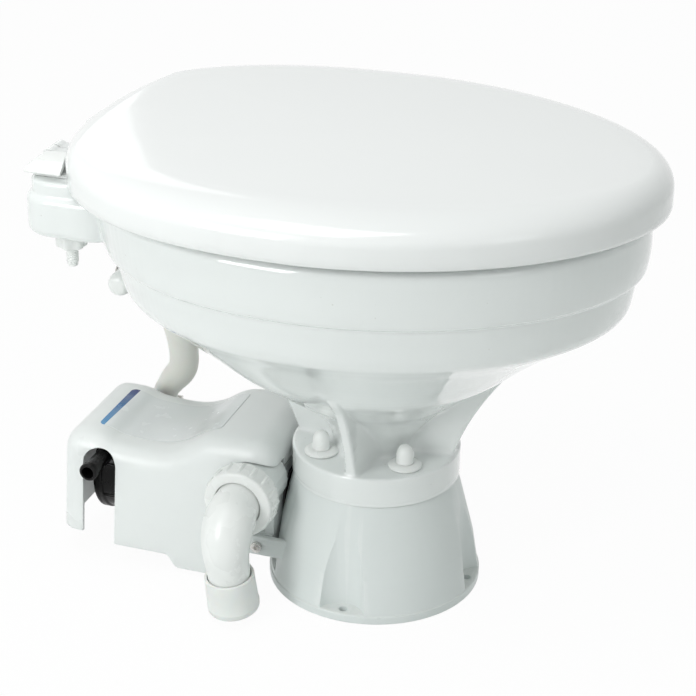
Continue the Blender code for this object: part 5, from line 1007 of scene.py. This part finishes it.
def make_hinge_pin(side, word):
    near, far = span(side, 23.5, 69.5)
    shape = turned(rounded_profile([(0, far), (2.5, far), (2.5, near), (0, near)], 0.5), 32)
    moved(shape, Matrix.Translation((0, HINGE_Y, HINGE_Z)) @ Matrix.Rotation(QUARTER, 4, "Y"))
    piece(f"hinge_pin_{word}_rod", shape, "steel", [f"hinge_pin_{word}"])


# ---------------------------------------------------------------------------------------------
# Pedestal and what holds the bowl to it


SCREW_Y, SCREW_Z = 76.5, 33.0


def make_pedestal():
    """The conical pedestal: a thin foot rim and four sharp-edged flutes over the floor screws."""
    corners = [
        (0, 5), (56, 5), (56, 78), (24, 78), (24, 88.5), (61.3, 88.5), (75, 35), (79.5, 7.0),
        (80.5, 6.4), (80.5, 0), (0, 0),
    ]
    profile = corners[:4] + rounded_profile(corners[4:], 1.1, 3)
    base = raw("pedestal_form", turned(profile, 144))
    cut(base, block((-90, 64, 10), (90, 90, 92)))
    for side, _ in SIDES:
        inner, outer = span(side, 47.0, 52.0)
        join(base, block((inner, 48, 25), (outer, 84, 41), 0, 1.6))
    for reach, low, high, radius, count in ((84.6, 7.0, 92, 18.6, 72), (73.6, -2, 9, 3.3, 36)):
        for number in range(4):
            turn = QUARTER * number
            foot = Vector((math.cos(turn), math.sin(turn), 0)) * reach
            cut(base, rod(foot + Vector((0, 0, low)), foot + Vector((0, 0, high)), radius, count))
    for side, _ in SIDES:
        cut(base, rod((side * 40, SCREW_Y, SCREW_Z), (side * 56, SCREW_Y, SCREW_Z), 2.3, 32))
    cut(base, rod((0, 36, 55), (0, 68, 55), 20, 64))
    eased_edges(base, 0.45, 2, 32)
    finished(base, "moulded_pedestal", "satin_base", ["pedestal_base"], 28)


def arc(radius, rise, middle, steps, power=1.0):
    """A quarter arc of (radius, height) points from a dome's rim, without its rim, to its top."""
    points = []
    for step in range(1, steps):
        turn = QUARTER * step / steps
        points.append((radius * math.cos(turn) ** power, middle + rise * math.sin(turn)))
    return points + [(0.0, middle + rise)]


def make_bolt_cap(number):
    """A round washer-like base and an egg-shaped dome over one of the four bowl bolts."""
    low, high = (Vector(corner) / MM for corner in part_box(f"bolt_cap_base_{number}"))
    place = ((low.x + high.x) / 2, (low.y + high.y) / 2)
    corners = [(3.3, 115.3), (9.8, 115.3), (12.5, 113.9), (12.5, 112.3), (3.3, 112.3)]
    washer = shifted(turned(rounded_profile(corners, 1.0, 4)), *place)
    piece(f"bolt_cap_base_{number}_washer", washer, "white_fitting",
          [f"bolt_cap_base_{number}"])
    profile = arc(6.5, 8.4, 121.2, 14, 0.92)[::-1]
    profile += [(6.5, 121.2), (6.5, 117.2), (6.5, 115.6), (5.3, 115.6), (5.3, 121.2)]
    dome = shifted(turned(profile + arc(5.3, 7.0, 121.2, 8), 56), *place)
    piece(f"bolt_cap_{number}_dome", dome, "white_fitting", [f"bolt_cap_{number}"], 50)


def make_side_screw(side, word):
    """A hex-socket screw that holds one of the pump's lugs to the pedestal's ear."""
    profile = rounded_profile(
        [(0, 55.3), (4.2, 55.3), (4.2, 52.3), (2.0, 52.3), (2.0, 41.3), (0, 41.3)], 0.5, 3
    )
    screw = raw("screw_form", turned(profile, 48))
    cut(screw, skin(rings([(1.7, 53.2), (1.7, 56.0)], 6)))
    turn = Matrix.Rotation(side * QUARTER, 4, "Y")
    moved(screw.data, Matrix.Translation((0, SCREW_Y, SCREW_Z)) @ turn)
    finished(screw, f"lug_screw_{word}_socket", "steel", [f"lug_screw_{word}"])


# ---------------------------------------------------------------------------------------------
# Motor cover and its sticker


PORT_Y, PORT_Z = 81.5, 81.5
PUMP_PORT_Y = 204.0
COVER_FRONT, COVER_REAR, COVER_CORNER, COVER_HALF_WIDTH = 65.0, 240.0, 17.0, 58
COVER_TOP_LINE = (
    (COVER_REAR, 102), (206, 102), (192, 97.5), (158, 96.5), (140, 102), (120, 114), (104, 117),
    (COVER_FRONT, 117),
)
LABEL_FRONT, LABEL_REAR, LABEL_HALF_WIDTH, LABEL_CORNER = 112.5, 213.5, 31.5, 4


def cover_line():
    """The cover's top line as closely spaced (y, height), from its rear to its front."""
    return smooth_line(COVER_TOP_LINE, 8)


def cover_top(y):
    line = cover_line()
    for (rear, high), (front, low) in zip(line, line[1:]):
        if front <= y <= rear:
            return blend(high, low, (rear - y) / (rear - front))
    return line[-1][1]


def cover_rows():
    """Arch-shaped sections from the rear to the front, drawn in toward both ends to round them."""
    rear_start, front_end = COVER_REAR - COVER_CORNER, COVER_FRONT + COVER_CORNER
    turns = [QUARTER * step / 9 for step in range(10)]
    stations = [rear_start + COVER_CORNER * math.cos(turn) for turn in turns[:-1]]
    stations += [y for y, _ in cover_line() if front_end + 0.5 < y < rear_start - 0.5]
    stations += [front_end - COVER_CORNER * math.sin(turn) for turn in turns]
    rows = []
    for y in stations:
        into = max(y - rear_start, front_end - y, 0.0)
        radius = math.sqrt(max(COVER_CORNER**2 - into**2, 0.0))
        drawn = COVER_CORNER - radius
        top = cover_top(y) - drawn
        bottom = blend(4, 14, ease((y - 140) / 10)) + 6.5 * ease((y - 195) / 15)
        lean = 4.0 * max(y - rear_start, 0) / COVER_CORNER
        heights = [blend(bottom, top - radius, spot / 7) for spot in range(8)]
        side = [(COVER_HALF_WIDTH - 0.05 * height - drawn, height) for height in heights]
        wide = COVER_HALF_WIDTH - 0.05 * (top - radius) - drawn
        for spot in range(1, 9):
            turn = QUARTER * spot / 8
            side.append((wide - radius * (1 - math.cos(turn)), top - radius * (1 - math.sin(turn))))
        shoulder = side[-1][0]
        side += [(shoulder * (1 - spot / 6), top) for spot in range(1, 6)] + [(0.0, top)]
        arch = [(-x, z) for x, z in side] + side[-2::-1]
        rows.append([(x, y - lean * (z - 14) / 88, z) for x, z in arch])
    return rows


def make_cover():
    """The motor cover: a rounded shell, open below and toward the pedestal, with pump slots."""
    shape = bmesh.new()
    arches = [[shape.verts.new(point) for point in row] for row in cover_rows()]
    for first, second in zip(arches, arches[1:]):
        for spot in range(len(first) - 1):
            shape.faces.new((first[spot], first[spot + 1], second[spot + 1], second[spot]))
    shape.faces.new(arches[0])
    shape.faces.new(arches[-1])
    bmesh.ops.remove_doubles(shape, verts=shape.verts, dist=1e-4)
    bmesh.ops.recalc_face_normals(shape, faces=shape.faces)
    cover = raw("cover_form", shape)
    baked(cover, "SOLIDIFY", thickness=3.0, offset=-1, use_even_offset=True)
    slot = [[(-70, y, -5), (70, y, -5), (70, y - shift, 79.5), (-70, y - shift, 79.5)]
            for y, shift in ((193.5, 3.0), (220.0, 2.5))]
    cut(cover, block((-70, 60, -5), (70, 106, PORT_Z)), block((-70, 60, -5), (70, 73.5, 90)),
        rod((-70, PORT_Y, PORT_Z), (-24, PORT_Y, PORT_Z), 22.5, 72), skin(slot),
        rod((-70, PUMP_PORT_Y, 79.5), (70, PUMP_PORT_Y, 79.5), 13.5, 64))
    eased_edges(cover, 0.5, 2, 50)
    finished(cover, "moulded_motor_cover", "satin_cover", ["motor_cover"], 30)


def make_sticker():
    """A bare sticker with rounded corners that follows the cover's top line."""
    places = [y for y, _ in cover_line()
              if LABEL_FRONT + LABEL_CORNER < y < LABEL_REAR - LABEL_CORNER]
    for step in range(9):
        into = LABEL_CORNER * (1 - math.sin(QUARTER * step / 8))
        places += [LABEL_FRONT + into, LABEL_REAR - into]
    rows = []
    for y in sorted(places):
        into = max(LABEL_CORNER - min(y - LABEL_FRONT, LABEL_REAR - y), 0)
        drawn = LABEL_CORNER - math.sqrt(max(LABEL_CORNER**2 - into * into, 0))
        half = LABEL_HALF_WIDTH - drawn
        across = [blend(-half, half, spot / 12) for spot in range(13)]
        height = cover_top(y) + 0.12
        rows.append([(x, y, height) for x in across] + [(x, y, height + 0.3) for x in across[::-1]])
    piece("bare_cover_sticker", skin(rows), "label_film", ["cover_label"], 60)


# ---------------------------------------------------------------------------------------------
# Discharge: nut, elbow and cuff


AT_PORT = Matrix.Translation((0, PORT_Y, PORT_Z))
ELBOW_FRAME = AT_PORT @ Matrix.Rotation(math.radians(-4), 4, "X")
ELBOW_TURN = math.radians(97)
ELBOW_START, BEND_RADIUS = -78.9, 26
LEG_WAY = Vector((-math.cos(ELBOW_TURN), 0, -math.sin(ELBOW_TURN)))
# Radii of the nut, distances from the cover's middle, and how high the ribs stand there.
NUT_PLAN = (
    (25.2, 60.0, 0), (26.0, 60.5, 0), (26.2, 61.2, 0), (26.2, 61.8, 0.6), (26.2, 62.5, 1),
    (26.2, 68.0, 1), (26.2, 73.6, 1), (26.2, 74.4, 0.8), (26.2, 75.2, 0.15), (26.2, 76.0, 0),
    (26.1, 77.4, 0), (25.6, 78.3, 0), (24.6, 78.85, 0), (23.0, 79.0, 0), (19.4, 79.0, 0),
    (18.5, 78.7, 0), (18.2, 78.0, 0), (18.2, 75.5, 0), (21.3, 75.5, 0), (21.3, 60.0, 0),
)
# Distances along the cuff and its radii there.
CUFF_OUTER = (
    (0, 17.6), (0.3, 18.2), (0.9, 18.5), (6, 18.6), (16, 18.85), (24.2, 19.1), (24.6, 19.35),
    (25.0, 19.5), (25.6, 19.5), (26.0, 19.3), (28.3, 19.3), (29.1, 19.0), (29.5, 18.4),
)
CUFF_INNER = (
    (0, 16.7), (0.3, 16.4), (0.9, 16.4), (6, 16.4), (14.28, 16.4), (14.3, 14.0), (24.6, 14.0),
    (25.0, 14.0), (25.6, 14.0), (26.0, 14.0), (28.3, 14.0), (29.1, 14.2), (29.5, 14.8),
)


def make_union_nut():
    """The hand-tightened nut: ribs with rounded backs, a chamfered face and a rounded lip."""

    def ribbed(reach, share):
        def radius(turn):
            wave = 0.5 + 0.5 * math.cos(16 * turn)
            return reach + 1.2 * ease((wave - 0.82) / 0.12) * share
        return radius

    profile = [(ribbed(reach, share) if share else reach, height)
               for reach, height, share in NUT_PLAN]
    shape = moved(skin(rings(profile, 288), closed=True),
                  AT_PORT @ Matrix.Rotation(-QUARTER, 4, "Y"))
    piece("ribbed_union_nut", shape, "white_fitting", ["union_nut"], 40, "union_nut")


def elbow_line():
    """The elbow's middle line and the distance along it, in the port's own frame."""
    points = [Vector((x, 0, 0)) for x in (-72.9, -73.2, -75.0, -75.3, -75.9, -77.0, ELBOW_START)]
    for step in range(1, 27):
        turn = ELBOW_TURN * step / 26
        points.append(Vector((
            ELBOW_START - BEND_RADIUS * math.sin(turn), 0, -BEND_RADIUS * (1 - math.cos(turn))
        )))
    for step in range(8):
        points.append(points[-1] + LEG_WAY * 3.6)
    lengths = [0.0]
    for before, after in zip(points, points[1:]):
        lengths.append(lengths[-1] + (after - before).length)
    return points, lengths


def make_elbow():
    """The discharge elbow: a flange under the nut, a full bend and a slightly tapered leg."""
    points, lengths = elbow_line()
    outer = []
    for length in lengths:
        swell = ease((length - 7) / 14) - ease((length - 30) / 30)
        radius = blend(17.4, 15.6, ease(length / lengths[-1])) + 1.9 * swell
        if length < 2.45:
            radius = 20.6 if 0.2 < length < 2.2 else 20.3
        elif length < 3.2:
            radius = 17.9
        outer.append(radius)
    shape = moved(pipe(points, outer, 13.2, 64), ELBOW_FRAME)
    piece("discharge_elbow_bend", shape, "white_fitting", ["discharge_elbow"], 30, "discharge")


def make_cuff():
    """The soft cuff on the elbow's end, with a thin moulded bead near its mouth."""
    leg_end = elbow_line()[0][-1]
    start, end = leg_end - LEG_WAY * 14, leg_end + LEG_WAY * 15.5
    outer, inner = (
        pipe_rows(straight(start, end, [stop for stop, _ in plan]), [radius for _, radius in plan],
                  64)
        for plan in (CUFF_OUTER, CUFF_INNER)
    )
    shape = moved(skin(outer + inner[::-1], closed=True), ELBOW_FRAME)
    piece("soft_discharge_cuff", shape, "white_rubber", ["discharge_cuff"], 40, "discharge")


# ---------------------------------------------------------------------------------------------
# Rinse pump, hose, clamps and the elbow behind the bowl


TAIL_RADIUS, TAIL_BORE = 6.3, 4.5
SHAFT_Z, INTAKE_Z, OUTLET_X, OUTLET_Z = 55, 83, 72, 58
ON_SHAFT = Matrix.Translation((0, 0, SHAFT_Z)) @ Matrix.Rotation(-QUARTER, 4, "X")
AT_INLET = Matrix.Translation((0, INLET_Y, INLET_Z)) @ Matrix.Rotation(QUARTER, 4, "Y")
# How far each point of the hose has gone across, forward and up from the pump to the inlet.
HOSE_SHARES = (
    (0.000, 0.000, 0.000), (0.000, 0.000, 0.058), (0.000, 0.020, 0.115), (0.001, 0.340, 0.182),
    (0.007, 0.850, 0.276), (0.024, 0.850, 0.420), (0.092, 0.600, 0.603), (0.270, 0.500, 0.809),
    (0.512, 0.620, 0.936), (0.715, 0.875, 0.987), (0.870, 0.995, 1.000), (1.000, 1.000, 1.000),
)


def barbed(start, end, reach, bore, barbs, first=2.0):
    """A hollow hose tail with sharp-backed barbs toward its mouth."""
    length = (Vector(end) - Vector(start)).length
    stops = [(0.0, reach - 0.9)]
    for number in range(barbs):
        mouth = length - first - number * 4.4
        stops += [(mouth - 3.4, reach - 0.9), (mouth - 3.3, reach)]
        stops += [(mouth, reach - 0.75)] if number else [(mouth, reach - 0.1)]
    stops += [(length - 1.2, reach - 0.35), (length, reach - 1.0)]
    stops.sort(key=lambda stop: stop[0])
    points = straight(start, end, [stop for stop, _ in stops])
    return pipe(points, [radius for _, radius in stops], bore, 48)


def make_rinse_pump():
    """The black rinse pump: a ribbed drum, a barbed intake to its left, an outlet to its right."""
    corners = [(37, 214.9), (37, 211.5), (35.6, 211.1), (35.6, 191.2), (37, 190.8), (37, 187.2),
               (4.3, 187.2), (4.3, 192.9), (27, 192.9), (27, 214.9)]
    drum = raw("pump_form", turned(rounded_profile(corners, 0.6, 3), 96))
    moved(drum.data, ON_SHAFT)
    for number in range(8):
        turn = math.tau * (number + 0.5) / 8
        x, z = 35.4 * math.cos(turn), SHAFT_Z + 35.4 * math.sin(turn)
        join(drum, rod((x, 189, z), (x, 213, z), 1.4, 20))
    y = PUMP_PORT_Y
    join(drum, rod((-15, y, INTAKE_Z), (-60, y, INTAKE_Z), TAIL_RADIUS, 48),
         rod((0, 200, 86), (0, 200, 96.4), 5, 32),
         rod((30, y, OUTLET_Z), (OUTLET_X, y, OUTLET_Z), TAIL_RADIUS, 48),
         rod((OUTLET_X, y, 51.7), (OUTLET_X, y, 77), TAIL_RADIUS, 48))
    cut(drum, rod((-5, y, INTAKE_Z), (-62, y, INTAKE_Z), TAIL_BORE),
        rod((23, y, OUTLET_Z), (OUTLET_X, y, OUTLET_Z), TAIL_BORE),
        rod((OUTLET_X, y, 53.5), (OUTLET_X, y, 80), TAIL_BORE))
    finished(drum, "rinse_pump_drum", "black_plastic", ["rinse_pump_housing"], 30)
    tail = barbed((-59.5, y, INTAKE_Z), (-74, y, INTAKE_Z), 7.2, 4.8, 1, 1.0)
    piece("rinse_intake_barb", tail, "black_plastic", [], 30)

    corners = [(0, 218.9), (35.8, 218.9), (37, 217.6), (37, 215.2), (0, 215.2)]
    plate = raw("pump_plate_form", turned(rounded_profile(corners, 0.6, 3), 96))
    for number in range(5):
        turn = math.tau * (number + 0.25) / 5
        spot = (31.5 * math.cos(turn), 31.5 * math.sin(turn))
        cut(plate, rod((*spot, 217.6), (*spot, 220), 3.2, 28))
    moved(plate.data, ON_SHAFT)
    finished(plate, "rinse_pump_end_plate", "black_plastic", ["rinse_pump_cover"], 30)


def hose_line():
    """The hose's middle line, from the rinse pump's outlet to the elbow behind the bowl."""
    start = Vector((OUTLET_X, PUMP_PORT_Y, 64.6))
    reach = Vector((-31.5, INLET_Y, INLET_Z)) - start
    route = [start + Vector((reach.x * a, reach.y * b, reach.z * c)) for a, b, c in HOSE_SHARES]
    points = []
    for before, near, far, after in windows(route):
        for step in range(8):
            t = step / 8
            points.append((
                near * 2 + (far - before) * t + (before * 2 - near * 5 + far * 4 - after) * t**2
                + (near * 3 - before - far * 3 + after) * t**3
            ) / 2)
    return points + [route[-1]]


def make_hose():
    """The off-white flush hose, thinner where it grips the barbs at both ends."""
    points = hose_line()
    outer = []
    for spot in range(len(points)):
        from_end = min(spot, len(points) - 1 - spot)
        outer.append(blend(9.9, 11.8, ease((from_end - 18) / 12)) if from_end else 9.7)
    piece("vinyl_flush_hose", pipe(points, outer, 7.1, 48), "hose_vinyl", ["flush_hose"], 40)


def make_clamp(word, inner, place):
    """A worm-drive hose clamp: a band, its loose tail and the screw's housing."""
    outer = inner + 1.2
    corners = [(outer, 8), (outer, 0), (inner, 0), (inner, 8)]
    clamp = raw("clamp_form", turned(rounded_profile(corners, 0.35, 3), 96))
    join(clamp, block((outer - 0.8, -5, 0.4), (outer + 2.6, 5, 7.6), 0, 0.7))
    for step in range(18):
        slot = block((outer - 0.35, -0.45, 1.8), (outer + 1.2, 0.45, 6.2))
        cut(clamp, moved(slot, Matrix.Rotation(math.tau * (0.12 + 0.55 * step / 18), 4, "Z")))
    join(clamp, rod((outer + 2.6, -8.4, 4), (outer + 2.6, 6.2, 4), 2.9, 6))
    cut(clamp, block((outer - 0.6, -9.0, 3.5), (outer + 5.8, -7.5, 4.5)))
    moved(clamp.data, place)
    finished(clamp, f"hose_clamp_{word}_worm", "steel", [f"hose_clamp_{word}"], 30)


def make_inlet():
    """The small white elbow that feeds rinse water into the bowl's rear."""
    corners = [(0, -31.8), (6.2, -31.8), (8.8, -35.0), (9.0, -46.5), (6.8, -51.6), (0, -53.0)]
    elbow = raw("inlet_form", moved(turned(rounded_profile(corners, 4.0, 6), 56), AT_INLET))

    def branch(start, end, radius, count):
        return rod((start[0], start[1], INLET_Z), (end[0], end[1], INLET_Z), radius, count)

    join(elbow, branch((INLET_X, INLET_Y), (INLET_X, 156), TAIL_RADIUS, 48),
         branch((INLET_X, INLET_Y), (-30, INLET_Y), TAIL_RADIUS, 48))
    cut(elbow, branch((INLET_X, INLET_Y), (INLET_X, 150), TAIL_BORE, 40),
        branch((-48.5, INLET_Y), (-28, INLET_Y), TAIL_BORE, 40))
    finished(elbow, "rinse_inlet_elbow", "white_fitting", ["inlet_elbow"], 35)
    tail = barbed((-30.4, INLET_Y, INLET_Z), (-15, INLET_Y, INLET_Z), TAIL_RADIUS, TAIL_BORE, 2)
    piece("rinse_inlet_barb", tail, "white_fitting", [], 30)


# ---------------------------------------------------------------------------------------------
# Everything together


def dress_kept_nodes():
    """Gives every CAD node that stays in view the finish of its own material slot."""
    slots = {part["node"]: part["material_slot"] for part in frame["record"]["subparts"]}
    for name, node in frame["nodes"].items():
        for slot in node.material_slots:
            slot.material = FINISHES[slots[name]]


photograph_camera()
white_surroundings()
pale_floor()
soft_lamp("overhead_box", (-0.45, 0.30, 1.75), (0, 0.05, 0.2), (0.9, 0.7), 8.5)
soft_lamp("window_left", (-1.35, 0.65, 0.90), (0, 0.05, 0.20), (0.55, 0.8), 10)
soft_lamp("window_front", (-0.95, -1.35, 0.95), (0, 0, 0.22), (0.5, 0.75), 1.0)
soft_lamp("rear_box", (1.1, 1.1, 1.1), (0, 0.05, 0.2), (0.8, 0.8), 1.5)
bpy.context.scene.view_settings.view_transform = "Standard"

make_bowl()
make_lid()
make_seat()
for number in range(1, 5):
    foot_buffer(f"seat_buffer_{number}", "seat")
for _, word in SIDES:
    foot_buffer(f"lid_buffer_{word}", "lid")
for side, word in SIDES:
    make_hinge_post(side, word)
    make_hinge_cap(side, word)
    make_hinge_bolt(side, word)
    make_hinge_pin(side, word)
make_pedestal()
for number in range(1, 5):
    make_bolt_cap(number)
for side, word in SIDES:
    make_side_screw(side, word)
make_cover()
make_sticker()
make_union_nut()
make_elbow()
make_cuff()
make_rinse_pump()
make_hose()
make_clamp("lower", 10.5, Matrix.Translation((OUTLET_X, PUMP_PORT_Y, 67.1)))
make_clamp("upper", 10.8, Matrix.Translation((-29.0, 0, 0)) @ AT_INLET
           @ Matrix.Rotation(math.radians(55), 4, "Z"))
make_inlet()
dress_kept_nodes()
